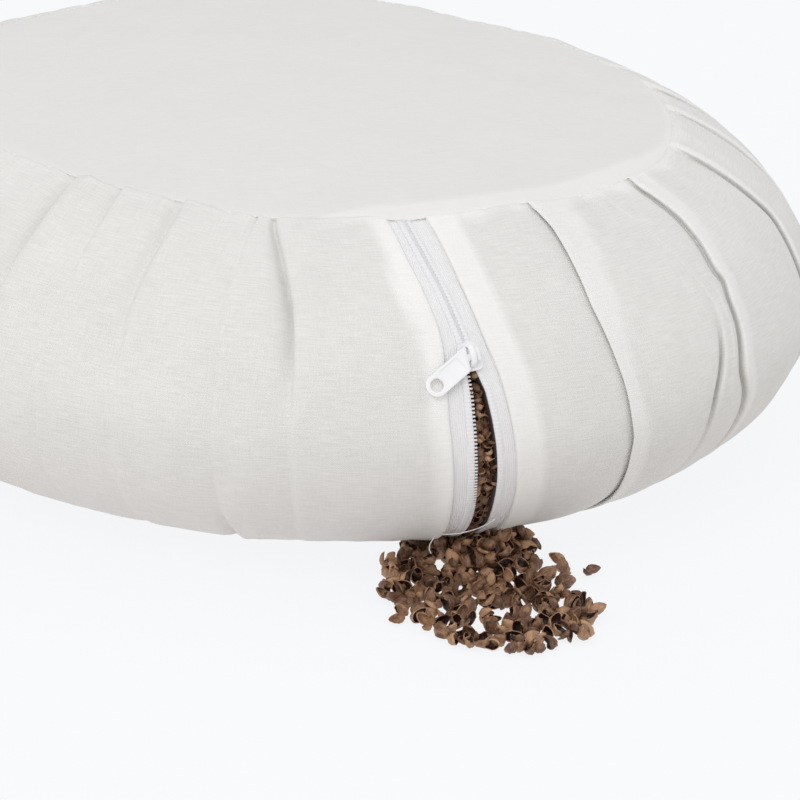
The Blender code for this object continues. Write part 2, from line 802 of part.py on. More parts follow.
def add_slider(collection, cutters):
    """The slider: a plate with a flange down each side, the divider between the coils, a bridge."""
    half = SLIDER_LENGTH / 2
    top_half = SLIDER_TOP_WIDTH / 2
    foot_half = SLIDER_FOOT_WIDTH / 2
    outline = ((-foot_half, -half), (foot_half, -half), (top_half, half), (-top_half, half))
    plate = plate_bmesh(outline, SLIDER_LIFT, SLIDER_LIFT + SLIDER_PLATE)
    round_corners(plate, SLIDER_CORNER, 3, lambda place: True)
    slider = add_object("zip_slider", plate, collection, ENAMEL)
    extras = bmesh.new()
    flange_foot = SLIDER_LIFT - FLANGE_DROP
    flange_top = SLIDER_LIFT + SLIDER_PLATE / 2
    flange_half = half - SLIDER_CORNER
    outer = top_half - GAP
    for side in (-1, 1):
        left, right = sorted((side * outer, side * (outer - FLANGE_THICK)))
        flange = add_box(extras, (left, -flange_half, flange_foot), (right, flange_half, flange_top))
        for vert in flange:
            vert.co.x += side * (foot_half - top_half) * (half - vert.co.y) / SLIDER_LENGTH
    divider_foot = SLIDER_LIFT - DIVIDER_DROP
    divider_end = DIVIDER_LENGTH - half
    width = DIVIDER_WIDTH / 2
    add_box(extras, (-width, -half + GAP, divider_foot), (width, divider_end, flange_top))
    bridge = bridge_mesh()
    extras.from_mesh(bridge)
    bmesh.ops.remove_doubles(extras, verts=extras.verts, dist=0.00001)
    boolean(slider, add_cutter("slider_fittings", extras, cutters), "UNION")
    for obj in (slider, cutters.objects["slider_fittings"]):
        obj.data.transform(slider_frame())


def pull_frame():
    """The pull's frame: from under the bridge, down to the left over the cloth."""
    lift = SLIDER_LIFT + SLIDER_PLATE + PULL_LIFT + PULL_THICK / 2
    turn = Matrix.Rotation(math.radians(PULL_TURN), 4, "Z")
    dip = Matrix.Rotation(math.radians(PULL_DIP), 4, "Y")
    return slider_frame() @ Matrix.Translation((0.0, 0.0, lift)) @ turn @ dip


def pull_outline():
    """The tab's outline, its near end cut along the slider, beside the bridge."""
    turn = math.radians(PULL_TURN)
    wide = PULL_WIDTH / 2
    near = {side: (side * wide * math.sin(turn) - PULL_BESIDE) / math.cos(turn) for side in (-1, 1)}
    return ((near[-1], -wide), (PULL_REACH, -wide), (PULL_REACH, wide), (near[1], wide))


def add_pull(collection, cutters):
    """The pull tab: a plate with a round eye, a neck under the bridge and a head that holds it."""
    half = PULL_THICK / 2
    neck_half = NECK_THICK / 2
    plate = plate_bmesh(pull_outline(), -half, half)
    round_corners(plate, PULL_END_RADIUS, 6, lambda place: place.x > PULL_REACH - GAP)
    round_corners(plate, PULL_CORNER, 2, lambda place: place.x < PULL_REACH / 2)
    pull = add_object("zip_pull", plate, collection, ENAMEL)
    neck = bmesh.new()
    add_box(neck, (-NECK_REACH, -NECK_WIDTH / 2, -neck_half), (NECK_REACH, NECK_WIDTH / 2, neck_half))
    boolean(pull, add_cutter("pull_neck", neck, cutters), "UNION")
    head = bmesh.new()
    beside = PULL_BESIDE + HEAD_WIDTH
    verts = add_box(head, (PULL_BESIDE, -HEAD_LENGTH / 2, -half), (beside, HEAD_LENGTH / 2, half))
    bmesh.ops.transform(head, matrix=Matrix.Rotation(math.radians(-PULL_TURN), 4, "Z"), verts=verts)
    boolean(pull, add_cutter("pull_head", head, cutters), "UNION")
    eye = bmesh.new()
    place = Matrix.Translation((PULL_REACH - EYE_BORDER - EYE_RADIUS, 0.0, 0.0))
    size = {"radius1": EYE_RADIUS, "radius2": EYE_RADIUS, "depth": 4 * PULL_THICK}
    bmesh.ops.create_cone(eye, cap_ends=True, segments=EYE_SIDES, matrix=place, **size)
    boolean(pull, add_cutter("pull_eye", eye, cutters), "DIFFERENCE")
    for obj in (pull, *(cutters.objects[name] for name in ("pull_neck", "pull_head", "pull_eye"))):
        obj.data.transform(pull_frame())


def add_filling(collection):
    """The filling behind the open coils: a lumpy bar in the pocket."""
    draw = random.Random(FILL_SEED)
    bm = bmesh.new()
    bmesh.ops.create_cube(bm, size=2.0)
    slice_along(bm, FILL_ALONG)
    for number in range(1, FILL_ACROSS):
        geometry = bm.verts[:] + bm.edges[:] + bm.faces[:]
        place = Vector((2 * number / FILL_ACROSS - 1, 0.0, 0.0))
        bmesh.ops.bisect_plane(bm, geom=geometry, plane_co=place, plane_no=(1.0, 0.0, 0.0))
    for vert in sorted(bm.verts, key=lambda vert: tuple(vert.co)):
        share = FILL_START + (FILL_END - FILL_START) * (1 - vert.co.y) / 2
        half = zip_size("opening", share) / 2 - GAP
        floor = pocket_floor(share) + GAP
        top = FILL_TOP + draw.uniform(-FILL_LUMP, FILL_LUMP)
        azimuth = zip_size("azimuth", share) + degrees_across(half * vert.co.x, share)
        vert.co = on_side(azimuth, share, top if vert.co.z > 0 else floor)
    return add_object("filling_in_opening", bm, collection, HULL_SKIN)


# --- The spilt hulls --------------------------------------------------------------------


def flat_place(spot):
    return around(spot.azimuth, spot.reach, 0.0)


def inside_heap(point):
    """Whether a point lies inside the heap's edge, by counting the edges to its right."""
    corners = [flat_place(spot) for spot in HEAP_EDGE]
    inside = False
    for first, second in zip(corners, corners[1:] + corners[:1]):
        if (first.y > point.y) == (second.y > point.y):
            continue
        cross = first.x + (point.y - first.y) * (second.x - first.x) / (second.y - first.y)
        if point.x < cross:
            inside = not inside
    return inside


def fall_height(point):
    """How high the fall of hulls under the zip stands at a point."""
    middle = around(FALL_AZIMUTH, FALL_REACH, 0.0)
    far = ((point.x - middle.x) / FALL_WIDTH) ** 2 + ((point.y - middle.y) / FALL_DEPTH) ** 2
    return FALL_HEIGHT * math.sqrt(1 - far) if far < 1 else 0.0


def underside_height(point):
    """How high the cushion's side stands over a point of the floor."""
    radius = math.hypot(point.x, point.y)
    if radius >= GIRTH_RADIUS:
        return 1.0
    drop = LOWER_DROP * (1 - (radius / GIRTH_RADIUS) ** LOWER_REACH_POWER) ** (1 / LOWER_DROP_POWER)
    return GIRTH_HEIGHT - drop


def is_bare(point):
    return any(
        (point - around(bare.azimuth, bare.reach, 0.0)).length < bare.radius + BARE_MARGIN
        for bare in BARE_PLACES
    )


def edge_places():
    """Places a spacing apart all along the heap's edge."""
    corners = [flat_place(spot) for spot in HEAP_EDGE]
    places = []
    for first, second in zip(corners, corners[1:] + corners[:1]):
        count = max(1, round((second - first).length / HULL_SPACING))
        places += [first.lerp(second, number / count) for number in range(count)]
    for place in places:
        place.z = HEAP_THICK
    return places


def hull_places():
    """Where the heap's hulls lie: along its edge, then all over it, each a spacing from the others."""
    draw = random.Random(HULL_SEED)
    edge = edge_places()
    low = Vector((min(place.x for place in edge), min(place.y for place in edge), 0.0))
    high = Vector((max(place.x for place in edge), max(place.y for place in edge), 0.0))
    places = [place for place in edge if underside_height(place) > HULL_LENGTH]
    for _ in range(HULL_TRIES):
        point = Vector((draw.uniform(low.x, high.x), draw.uniform(low.y, high.y), 0.0))
        if not inside_heap(point) or is_bare(point):
            continue
        point.z = max(HEAP_THICK, fall_height(point)) + draw.uniform(0.0, HULL_STRAY)
        if underside_height(point) < point.z:
            continue
        if any((point - other).length < HULL_SPACING for other in places):
            continue
        places.append(point)
    return places


def add_hull(bm, place, draw):
    """One three-sided hull, turned any way."""
    turn = Euler([draw.uniform(0, math.tau) for _ in range(3)]).to_matrix().to_4x4()
    size = draw.uniform(HULL_SMALLEST, HULL_LARGEST)
    scale = Matrix.Diagonal((HULL_WIDTH * size, HULL_WIDTH * size, HULL_LENGTH * size, 1.0))
    matrix = Matrix.Translation(place) @ turn @ scale
    bmesh.ops.create_uvsphere(bm, u_segments=HULL_SIDES, v_segments=HULL_RINGS, radius=0.5, matrix=matrix)


def cushion_clearance(cutters):
    """The space that the side takes up, with its clearance, turned as one plain shape."""
    points = [(0.0, SEAM_HEIGHT)]
    for share in ROWS:
        radius, height = side_point(share)
        away, up = side_normal(share)
        points.append((radius + away * CUSHION_CLEARANCE, height + up * CUSHION_CLEARANCE))
    points.append((points[-1][0], -2 * UNDER_FLOOR))
    points.append((0.0, -2 * UNDER_FLOOR))
    cutter = profile_object("cushion_clearance", points, cutters)
    add_screw(cutter, CLEARANCE_STEPS)
    cutter.hide_render = True
    cutter.display_type = "WIRE"
    return cutter


def add_heap(collection, cutters):
    """The spilt hulls: a thin bed with bare places, the fall under the zip, and hulls all over."""
    draw = random.Random(HULL_SEED)
    clearance = cushion_clearance(cutters)
    bed = plate_bmesh([flat_place(spot).xy for spot in HEAP_EDGE], -UNDER_FLOOR, HEAP_THICK)
    heap = add_object("spilled_hulls", bed, collection, HULL_SKIN, smooth=False)
    bare = bmesh.new()
    for place in BARE_PLACES:
        matrix = Matrix.Translation(around(place.azimuth, place.reach, 0.0))
        size = {"radius1": place.radius, "radius2": place.radius, "depth": 4 * UNDER_FLOOR}
        bmesh.ops.create_cone(bare, cap_ends=True, segments=BARE_SIDES, matrix=matrix, **size)
    boolean(heap, add_cutter("bare_places", bare, cutters), "DIFFERENCE")
    lumps = bmesh.new()
    size = Matrix.Diagonal((FALL_WIDTH, FALL_DEPTH, FALL_HEIGHT, 1.0))
    matrix = Matrix.Translation(around(FALL_AZIMUTH, FALL_REACH, 0.0)) @ size
    bmesh.ops.create_uvsphere(lumps, u_segments=16, v_segments=8, radius=1.0, matrix=matrix)
    for place in hull_places():
        add_hull(lumps, place, draw)
    boolean(heap, add_cutter("heap_lumps", lumps, cutters), "UNION")
    boolean(heap, clearance, "DIFFERENCE")
    floor = bmesh.new()
    add_box(floor, (-FLOOR_BLOCK, -FLOOR_BLOCK, -FLOOR_BLOCK), (FLOOR_BLOCK, 0.0, GAP))
    boolean(heap, add_cutter("floor_block", floor, cutters), "DIFFERENCE")


def add_loose_hulls(collection):
    """The hulls that lie apart from the heap, each on its lowest corner."""
    draw = random.Random(HULL_SEED + 1)
    for number, spot in enumerate(LOOSE_HULLS, start=1):
        bm = bmesh.new()
        add_hull(bm, flat_place(spot), draw)
        lowest = min(vert.co.z for vert in bm.verts)
        bmesh.ops.translate(bm, vec=(0.0, 0.0, GAP - lowest), verts=bm.verts)
        add_object(f"loose_hull_{number}", bm, collection, HULL_SKIN, smooth=False)


# --- The stray thread -------------------------------------------------------------------


def smooth_route(points, count):
    """Points at equal steps along a smooth curve through the route's own points."""
    route = np.array([tuple(point) for point in points])
    ends = np.vstack([2 * route[0] - route[1], route, 2 * route[-1] - route[-2]])
    fine = []
    for number in range(len(route) - 1):
        a, b, c, d = ends[number : number + 4]
        for t in np.linspace(0, 1, THREAD_FINENESS, endpoint=False):
            square = 2 * a - 5 * b + 4 * c - d
            cube = 3 * b - a - 3 * c + d
            fine.append(b + ((c - a) * t + square * t**2 + cube * t**3) / 2)
    fine.append(route[-1])
    fine = np.array(fine)
    along = np.concatenate([[0], np.cumsum(np.linalg.norm(np.diff(fine, axis=0), axis=1))])
    even = np.linspace(0, along[-1], count)
    return [Vector([np.interp(place, along, fine[:, axis]) for axis in range(3)]) for place in even]


def add_thread(collection):
    """The stray thread, from the zip's foot over the cloth and down on the heap."""
    route = [on_side(lie.azimuth, lie.share, THREAD_LIFT) for lie in THREAD_ON_SIDE]
    route += [around(drop.azimuth, drop.reach, drop.height) for drop in THREAD_DROP]
    curve = bpy.data.curves.new("loose_thread", "CURVE")
    curve.dimensions = "3D"
    curve.bevel_depth = THREAD_THICK / 2
    curve.bevel_resolution = 2
    curve.use_fill_caps = True
    spline = curve.splines.new("POLY")
    spline.points.add(THREAD_POINTS - 1)
    for point, place in zip(spline.points, smooth_route(route, THREAD_POINTS)):
        point.co = (*place, 1.0)
    curve.materials.append(material(THREAD))
    obj = bpy.data.objects.new("loose_thread", curve)
    collection.objects.link(obj)
    return obj


def main():
    clear_scene()
    cushion = new_collection("zafu_meditation_cushion")
    cutters = new_collection("cutters")
    add_body(cushion)
    add_panels(cushion)
    add_zip_sides(cushion)
    add_slider(cushion, cutters)
    add_pull(cushion, cutters)
    add_filling(cushion)
    add_heap(cushion, cutters)
    add_loose_hulls(cushion)
    add_thread(cushion)


if __name__ == "__main__":
    main()
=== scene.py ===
"""Zafu meditation cushion, dressed: a pleated cotton cover, its zip half open, and spilt hulls.

The frame is the part's own: metres, +Z up, origin at the centre of the underside, the zip at -Y.
An azimuth is in degrees from -Y towards +X. A share of the side runs from 0 at the top seam,
over the bulge, to 1 where the cushion meets the floor.
"""

import json
import math
import random
from collections import namedtuple
from contextlib import contextmanager

import bmesh
import bpy
import numpy as np
from bpy.props import FloatProperty, FloatVectorProperty, IntProperty, PointerProperty
from mathutils import Matrix, Vector, noise
from mathutils.bvhtree import BVHTree

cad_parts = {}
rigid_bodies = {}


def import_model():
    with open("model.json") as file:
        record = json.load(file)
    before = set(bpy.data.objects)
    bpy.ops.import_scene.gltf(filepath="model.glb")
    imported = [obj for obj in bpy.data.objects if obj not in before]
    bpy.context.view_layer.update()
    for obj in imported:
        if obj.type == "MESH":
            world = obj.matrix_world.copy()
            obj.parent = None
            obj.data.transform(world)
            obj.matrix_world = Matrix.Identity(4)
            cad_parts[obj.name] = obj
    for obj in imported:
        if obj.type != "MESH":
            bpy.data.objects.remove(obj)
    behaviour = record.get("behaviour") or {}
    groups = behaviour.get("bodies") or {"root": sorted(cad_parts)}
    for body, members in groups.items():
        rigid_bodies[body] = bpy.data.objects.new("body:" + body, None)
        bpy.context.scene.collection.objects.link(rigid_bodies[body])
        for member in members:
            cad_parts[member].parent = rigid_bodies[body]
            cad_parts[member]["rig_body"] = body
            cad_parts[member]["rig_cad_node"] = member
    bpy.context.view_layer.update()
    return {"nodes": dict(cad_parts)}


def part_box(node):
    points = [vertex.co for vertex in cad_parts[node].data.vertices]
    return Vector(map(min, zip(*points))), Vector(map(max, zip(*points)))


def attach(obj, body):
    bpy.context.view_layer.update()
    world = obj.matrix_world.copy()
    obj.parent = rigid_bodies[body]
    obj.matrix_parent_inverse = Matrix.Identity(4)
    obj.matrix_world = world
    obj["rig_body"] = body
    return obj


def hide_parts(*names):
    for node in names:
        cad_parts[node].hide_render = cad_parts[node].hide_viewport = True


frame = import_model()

bl_info = {
    "name": "Zafu meditation cushion",
    "version": (1, 0, 0),
    "blender": (4, 5, 0),
    "location": "3D View > Sidebar > Zafu",
    "description": "Builds a pleated floor cushion with its zip half open and some filling spilt",
    "category": "Add Mesh",
}

MM = 0.001

# The stuffed cushion's outline, as in the part's source.
GIRTH_RADIUS = 0.2000
GIRTH_HEIGHT = 0.0619
UPPER_RISE = 0.0714
UPPER_REACH_POWER = 3.97
UPPER_RISE_POWER = 1.71
LOWER_DROP = 0.0681
LOWER_REACH_POWER = 4.14
LOWER_DROP_POWER = 1.85
SEAM_RADIUS = 0.1396
BOTTOM_SEAM = 0.92
CROWN = 0.0060
CURVE_POINTS = 400
CLOTH = 1.2 * MM
BED = 1.5 * MM

Wave = namedtuple("Wave", "turns height phase")
SEAM_WAVES = (Wave(5, 0.7 * MM, 0.4), Wave(9, 0.5 * MM, 2.1), Wave(14, 0.4 * MM, 4.0))
WAVE_REACH = 0.16
Dip = namedtuple("Dip", "azimuth height spread")
SEAM_DIPS = (Dip(-3.4, -1.5 * MM, 3.4), Dip(13.0, 1.5 * MM, 9.0))

# Folds of the cover: share of the side, azimuth, depth in mm, how sharply the cloth laps over
# itself (0 a soft valley, 1 a knife pleat), and how wide the doubled cloth beside it shows, in mm.
Station = namedtuple("Station", "share azimuth depth sharp stripe")
Fold = namedtuple("Fold", "width stations")
FRONT_FOLDS = tuple(Fold(width, [Station(*one) for one in stations]) for width, stations in (
    (1, (
        (0, -64.5, 0.5, 0, 0), (0.05, -64.3, 2.8, 0.4, 0), (0.2, -63.8, 2.4, 0.2, 0),
        (0.42, -63, 1.4, 0, 0), (0.92, -61, 0.4, 0, 0),
    )),
    (1.1, (
        (0, -52.1, 1.7, 0.3, 0), (0.04, -51.7, 4.2, 0.3, 0), (0.15, -51.1, 4, 0.2, 0),
        (0.25, -51.2, 2.9, 0, 0), (0.38, -51.3, 1, 0, 0), (0.92, -50, 0.3, 0, 0),
    )),
    (0.7, (
        (0, -44.2, 1.2, 0.3, 0), (0.03, -44, 1.7, 0.2, 0), (0.09, -43.7, 1, 0, 0),
        (0.2, -43.4, 0.4, 0, 0), (0.92, -42, 0.2, 0, 0),
    )),
    (1, (
        (0, -34.8, 1.6, 0.3, 0), (0.04, -34.8, 2.6, 0.2, 0), (0.16, -35.4, 2.3, 0, 0),
        (0.25, -35.7, 1.5, 0, 0), (0.42, -35.2, 0.6, 0, 0), (0.92, -34, 0.4, 0, 0),
    )),
    (0.6, (
        (0, -23.9, 1.2, 0.3, 0), (0.04, -24.4, 0.9, 0, 0), (0.1, -25, 0.4, 0, 0),
        (0.45, -25.2, 0.2, 0, 0), (0.6, -24.4, 0.4, 0, 0), (0.72, -23.5, 1.2, 0, 0),
        (0.8, -23, 2.6, 0.1, 0), (0.86, -22.6, 3.4, 0.4, 0), (0.92, -22.6, 0.8, 0, 0),
    )),
    (1.35, (
        (0, -21.7, 1.5, 0.3, 0), (0.02, -21.6, 2.6, 0.3, 0), (0.12, -19.8, 4, 0.4, 0),
        (0.22, -18.3, 4.8, 0.5, 0), (0.3, -18, 4.2, 0.4, 0), (0.37, -18, 2.4, 0.1, 0),
        (0.44, -17.8, 0.9, 0, 0), (0.92, -15, 0.1, 0, 0),
    )),
    (1, (
        (0, 16.1, 1.2, 0.5, 18), (0.02, 16.4, 2, 1, 18), (0.07, 17, 2.1, 1, 17), (0.16, 16.7, 2, 1, 14),
        (0.24, 16.3, 1.9, 1, 12), (0.33, 17, 1.9, 1, 9), (0.39, 17.6, 1.9, 1, 7), (0.47, 18.3, 2.2, 1, 8),
        (0.5, 18.9, 2.7, 1, 9), (0.53, 19, 1.9, 1, 9), (0.6, 19.9, 2, 1, 8), (0.72, 21.9, 1.7, 1, 6),
        (0.84, 22.3, 1.1, 0.6, 4), (0.92, 22.6, 0.6, 0, 0),
    )),
    (0.6, (
        (0, 29.5, 0.1, 0, 0), (0.3, 34, 0.3, 0, 0), (0.34, 33.7, 1.4, 0.2, 0), (0.4, 32.6, 3, 0.8, 0),
        (0.46, 31.2, 3.6, 0.9, 0), (0.51, 31, 2.2, 0.4, 0), (0.6, 31.2, 0.8, 0, 0), (0.92, 32, 0.3, 0, 0),
    )),
    (0.9, (
        (0, 38.9, 1.2, 0.5, 12), (0.03, 38.7, 2.4, 1, 12), (0.12, 39.3, 3, 1, 10),
        (0.19, 38.6, 3.2, 1, 9), (0.25, 37.4, 3.6, 1, 8), (0.27, 38.2, 3.2, 1, 8), (0.3, 37.1, 3.7, 1, 8),
        (0.36, 36.8, 3.6, 1, 8), (0.44, 35.8, 4.6, 1, 8), (0.5, 37.2, 3.4, 0.9, 7),
        (0.56, 37.8, 2.4, 0.5, 4), (0.92, 40, 0.5, 0, 0),
    )),
    (1, (
        (0, 59.6, 0.6, 0, 6), (0.05, 59.5, 2.4, 0.8, 6), (0.17, 59.5, 2.5, 0.9, 5),
        (0.25, 60.4, 2.6, 1, 5), (0.34, 58.5, 2.5, 1, 5), (0.5, 56.5, 2.4, 0.8, 5),
        (0.76, 54.5, 1.6, 0.4, 4), (0.92, 54, 0.5, 0, 0),
    )),
))
REAR_PLEATS = 17
REAR_FIRST = 77.0
REAR_LAST = 281.0
REAR_STRAY = 1.6
PLEAT_SEED = 11

# Across a fold, from the soft side to the doubled cloth: places in mm beside the fold's edge
# where it laps over and where it is a soft valley, and the depths there as shares of its own.
Line = namedtuple("Line", "lapped soft lapped_depth soft_depth")
SECTION = tuple(Line(*one) for one in (
    (-9, -9, 0, 0), (-6.5, -6.5, 0.08, 0.08), (-4.6, -4.8, 0.2, 0.24), (-3, -3.5, 0.36, 0.46),
    (-1.7, -2.5, 0.54, 0.68), (-0.5, -1.7, 0.7, 0.86), (0.6, -1, 0.85, 0.97), (1.7, -0.5, 0.96, 1),
    (2.5, -0.1, 1, 0.96), (2.2, 0.2, 0.84, 0.84), (1.2, 0.5, 0.58, 0.68), (0.3, 0.8, 0.33, 0.5),
    (-0.25, 1.1, 0.12, 0.32), (-0.48, 1.4, -0.03, 0.16), (-0.4, 1.8, -0.14, 0.02),
    (-0.05, 2.2, -0.2, -0.08), (0.7, 2.8, -0.23, -0.15), (2.4, 3.6, -0.21, -0.18), (4.4, 5, -0.16, -0.14),
    (6.6, 6.8, -0.07, -0.06), (9, 9, 0, 0),
))
DEEPEST_LINE = 8
PLAIN_STEP = 4.2 * MM
COVER_ROWS = 84
PUFF = 1.1 * MM

# Soft wrinkles that lie beside the folds: where each starts and ends, its height and half width
# in mm. A negative height is a dent.
Wrinkle = namedtuple("Wrinkle", "azimuth share end_azimuth end_share height width")
WRINKLES = tuple(Wrinkle(*one) for one in (
    (-57.3, 0, -57.6, 0.07, -0.7, 2.2), (-56.2, 0, -56.6, 0.12, 0.5, 3),
    (-47.6, 0, -47.2, 0.28, 0.6, 5.5), (-40.5, 0, -40, 0.2, 0.4, 4), (-38, 0.02, -39.5, 0.34, 0.5, 6),
    (-31, 0, -31.6, 0.26, 0.7, 5), (-28.2, 0, -29.4, 0.12, -0.5, 2.4), (-26.6, 0, -27.4, 0.1, 0.4, 2.2),
    (-16.5, 0.06, -14.5, 0.48, 0.7, 6), (-15.2, 0.38, -16.5, 0.52, -0.5, 4), (-12, 0, -11.6, 0.1, 0.3, 3),
    (-21.4, 0.42, -22.6, 0.72, 0.8, 4.5), (-26.6, 0.58, -26, 0.84, 0.6, 4),
    (-20.4, 0.62, -20.8, 0.86, 0.7, 3.5), (9.5, 0, 10.6, 0.1, -0.3, 2.5), (12.4, 0, 12.9, 0.08, 0.3, 2),
    (14, 0.44, 15.5, 0.6, -0.4, 4), (27.2, 0, 27.6, 0.13, -0.5, 2.2), (31.2, 0, 31, 0.1, 0.4, 2.4),
    (33.6, 0, 34, 0.08, -0.4, 1.8), (43, 0.01, 43.9, 0.06, 0.6, 2), (46.4, 0, 46.8, 0.16, -0.5, 3),
    (50, 0, 50.3, 0.2, 0.5, 3.4), (54.2, 0.02, 55.3, 0.12, 0.7, 2.2), (41.6, 0.36, 43.6, 0.6, -0.9, 3),
    (45, 0.34, 46.4, 0.62, -0.6, 3), (33.6, 0.52, 34.8, 0.66, 0.6, 3), (66, 0, 65, 0.3, 0.6, 4),
    (-33, 0.34, -31, 0.7, 0.4, 7), (-45, 0.36, -43, 0.74, 0.4, 8), (-8.6, 0, -8, 0.08, 0.3, 2.4),
    (-49.4, 0, -48.6, 0.4, 1.7, 3.6), (-24.6, 0.6, -24.8, 0.84, 0.5, 2.6),
    (-33.4, 0, -33.6, 0.2, 1.2, 2.8), (-42.8, 0, -42.6, 0.12, 0.9, 2.2), (-24.9, 0, -26, 0.1, 0.7, 1.8),
    (-38, 0.22, -37, 0.7, -0.6, 9), (-47, 0.26, -46, 0.8, 0.7, 9),
))
# Wrinkles that start below this share of the side swell from nothing; the others start at a seam.
OWN_START = 0.2
# How wide the turned-in cloth shows inside the top panel's rim: azimuth and width in mm.
RIM_WIDTHS = (
    (-180, 0.5), (-60, 0.5), (-16, 2.0), (-6, 13.0), (30, 13.5), (46, 11.0), (60, 4.0), (180, 0.5),
)
RIM_TONE = 0.5
RIM_STEPS = (0.9, 1.8, 3.0, 5.0, 8.0, 10.0, 12.0)
PANEL_STEPS = 240
# How much the seam's own allowance shows under the band's top edge, by azimuth.
SEAM_TONES = ((-180, 0.15), (-16, 0.15), (-6, 0.7), (46, 0.7), (70, 0.3), (180, 0.15))
STRIPE_TONE = 0.68
LAYER_EDGE = 3 * MM
# How far the map of one run of cloth is moved from that of the last, so that their slubs differ.
RUN_SHIFT = 0.731
PUCKER_PITCH = 8.5 * MM
PUCKER_HEIGHT = 0.32 * MM
PUCKER_REACH = 11 * MM
CRUMPLE = 0.42 * MM
# Noise of the crumpled cloth: its share, its lobes round the side and its waves down it.
CRUMPLE_NOISES = ((1.0, 9.0, 3.2), (0.45, 24.0, 7.0), (0.16, 60.0, 22.0))

# The simulated swelling: its frames, its grid round and down the side, and the most it may be.
SWELL_FRAMES = 20
SWELL_COLUMNS = 90
SWELL_ROWS = 16
SWELL_MOST = 1.5 * MM

# The zip: azimuths of the cloth's folds, of the chain's middle and of the opening's edges.
ZipLine = namedtuple("ZipLine", "share fold_left chain_left chain_right fold_right")
ZIP_LINES = tuple(ZipLine(*one) for one in (
    (0, -5.9, -3.5, -3.5, -0.2), (0.06, -5.1, -2.9, -2.9, 0.2), (0.11, -4.55, -2.35, -2.35, 0.57),
    (0.155, -3.88, -1.75, -1.75, 0.9), (0.2, -3.28, -1.15, -1.15, 1.36), (0.25, -2.6, -0.5, -0.5, 1.88),
    (0.29, -2.38, 0, 0, 2.35), (0.32, -2.38, -0.12, 0.42, 2.85), (0.34, -2.38, -0.08, 0.86, 3.15),
    (0.37, -2.42, 0.08, 1.5, 3.5), (0.42, -2.3, 0.2, 2.05, 4.02), (0.48, -1.85, 0.5, 2.65, 4.7),
    (0.54, -1.25, 1.03, 3.27, 5.4), (0.6, -0.7, 1.68, 3.82, 6.15), (0.65, -0.18, 2.2, 4.35, 6.66),
    (0.69, 0.25, 2.6, 4.9, 7.18), (0.76, 0.95, 3.3, 5.5, 7.9), (0.84, 1.6, 4.1, 5.65, 8.4),
    (0.92, 2.1, 4.9, 5.3, 8.6),
))
CHANNEL_DEPTH = 2.2 * MM
POCKET_DEPTH = 9.0 * MM
LIP = 0.75 * MM
# Painted shade: the cloth deep in the channel behind the open coils is coloured near black, in place of the
# shade there.
POCKET_SHADE_COLOUR = (0.030, 0.013, 0.008)
LIP_SPREAD = 9.0 * MM
ZIP_START = 0.004
ZIP_END = 0.905
ZIP_ROWS = 150
ZIP_SHARES = np.linspace(ZIP_START, ZIP_END, ZIP_ROWS)
ZIP_SIDES = (("left", -1), ("right", 1))
COIL_SIDES = 14
COIL_LIFT = -0.18 * MM
# Below the slider: a coil's inset, the lift of its teeth's tips, and in mm how far they tuck back.
COIL_OPEN = {"left": (0.40 * MM, 0.05 * MM, 0.0), "right": (0.12 * MM, -0.30 * MM, 0.85)}
SEAM_STITCH = 3.1 * MM
ZIP_STITCH = 1.9 * MM
TAPE_STEPS = 8
RIB_PITCH = 0.00075
PICK_PITCH = 0.00055
TUCK = 2.6 * MM
SEWN_ALLOWANCE = 5.5 * MM
# How wide the zip's allowances show at its sides; the left one changes with the share.
ZIP_ALLOWANCE_LEFT = 7.0 * MM
ALLOWANCE_SHARES = ((0, 1.0), (0.1, 1.3), (0.18, 1.7), (0.28, 1.4), (0.45, 1.0), (1, 0.8))
ZIP_ALLOWANCE_RIGHT = 12.3 * MM

# The slider and its pull, as in the part's source.
SLIDER_SHARE = 0.310
SLIDER_AZIMUTH = 0.12
SLIDER_LENGTH = 10.0 * MM
SLIDER_TOP_WIDTH = 6.8 * MM
SLIDER_FOOT_WIDTH = 8.2 * MM
SLIDER_PLATE = 1.0 * MM
SLIDER_LIFT = 0.95 * MM
SLIDER_CORNER = 2.4 * MM
BRIDGE_WIDTH = 2.2 * MM
BRIDGE_THICK = 1.2 * MM
PULL_TURN = 208.0
PULL_DIP = 6.0
PULL_LIFT = 0.9 * MM
PULL_REACH = 19.8 * MM
PULL_WIDTH = 7.6 * MM
PULL_THICK = 1.1 * MM
PULL_BESIDE = 1.6 * MM
PULL_END_RADIUS = 3.65 * MM
PULL_RIM = 0.95 * MM
PULL_RECESS = 0.24 * MM
PULL_RECESS_START = 4.7 * MM
EYE_RADIUS = 2.35 * MM
EYE_BORDER = 1.35 * MM

# The spilt hulls: the heap's bare places, and how far hulls keep inside its edge.
Bare = namedtuple("Bare", "azimuth reach radius")
BARE_PLACES = (
    Bare(3.1, 205 * MM, 4.0 * MM), Bare(6.4, 208 * MM, 4.8 * MM), Bare(0.2, 216 * MM, 3.2 * MM),
    Bare(1.6, 171 * MM, 2.2 * MM), Bare(-0.8, 188 * MM, 2.4 * MM),
)
BARE_EDGE = 0.6 * MM
HULL_SEED = 21
HULL_LOBES = (1, 1, 1, 1, 1, 1, 1, 2, 1, 3, 2, 3)
HULL_WALL = 0.20 * MM
HULL_MARGIN = 1.9 * MM
FOUR_WAYS = ((-1, 0), (1, 0), (0, -1), (0, 1))
LAYER_DEPTHS = (1.3 * MM, 4.2 * MM, 7.2 * MM)
INNER_SIDE, RIM_SIDE = 1, 2
OPENING_START = 0.326
OPENING_END = 0.845

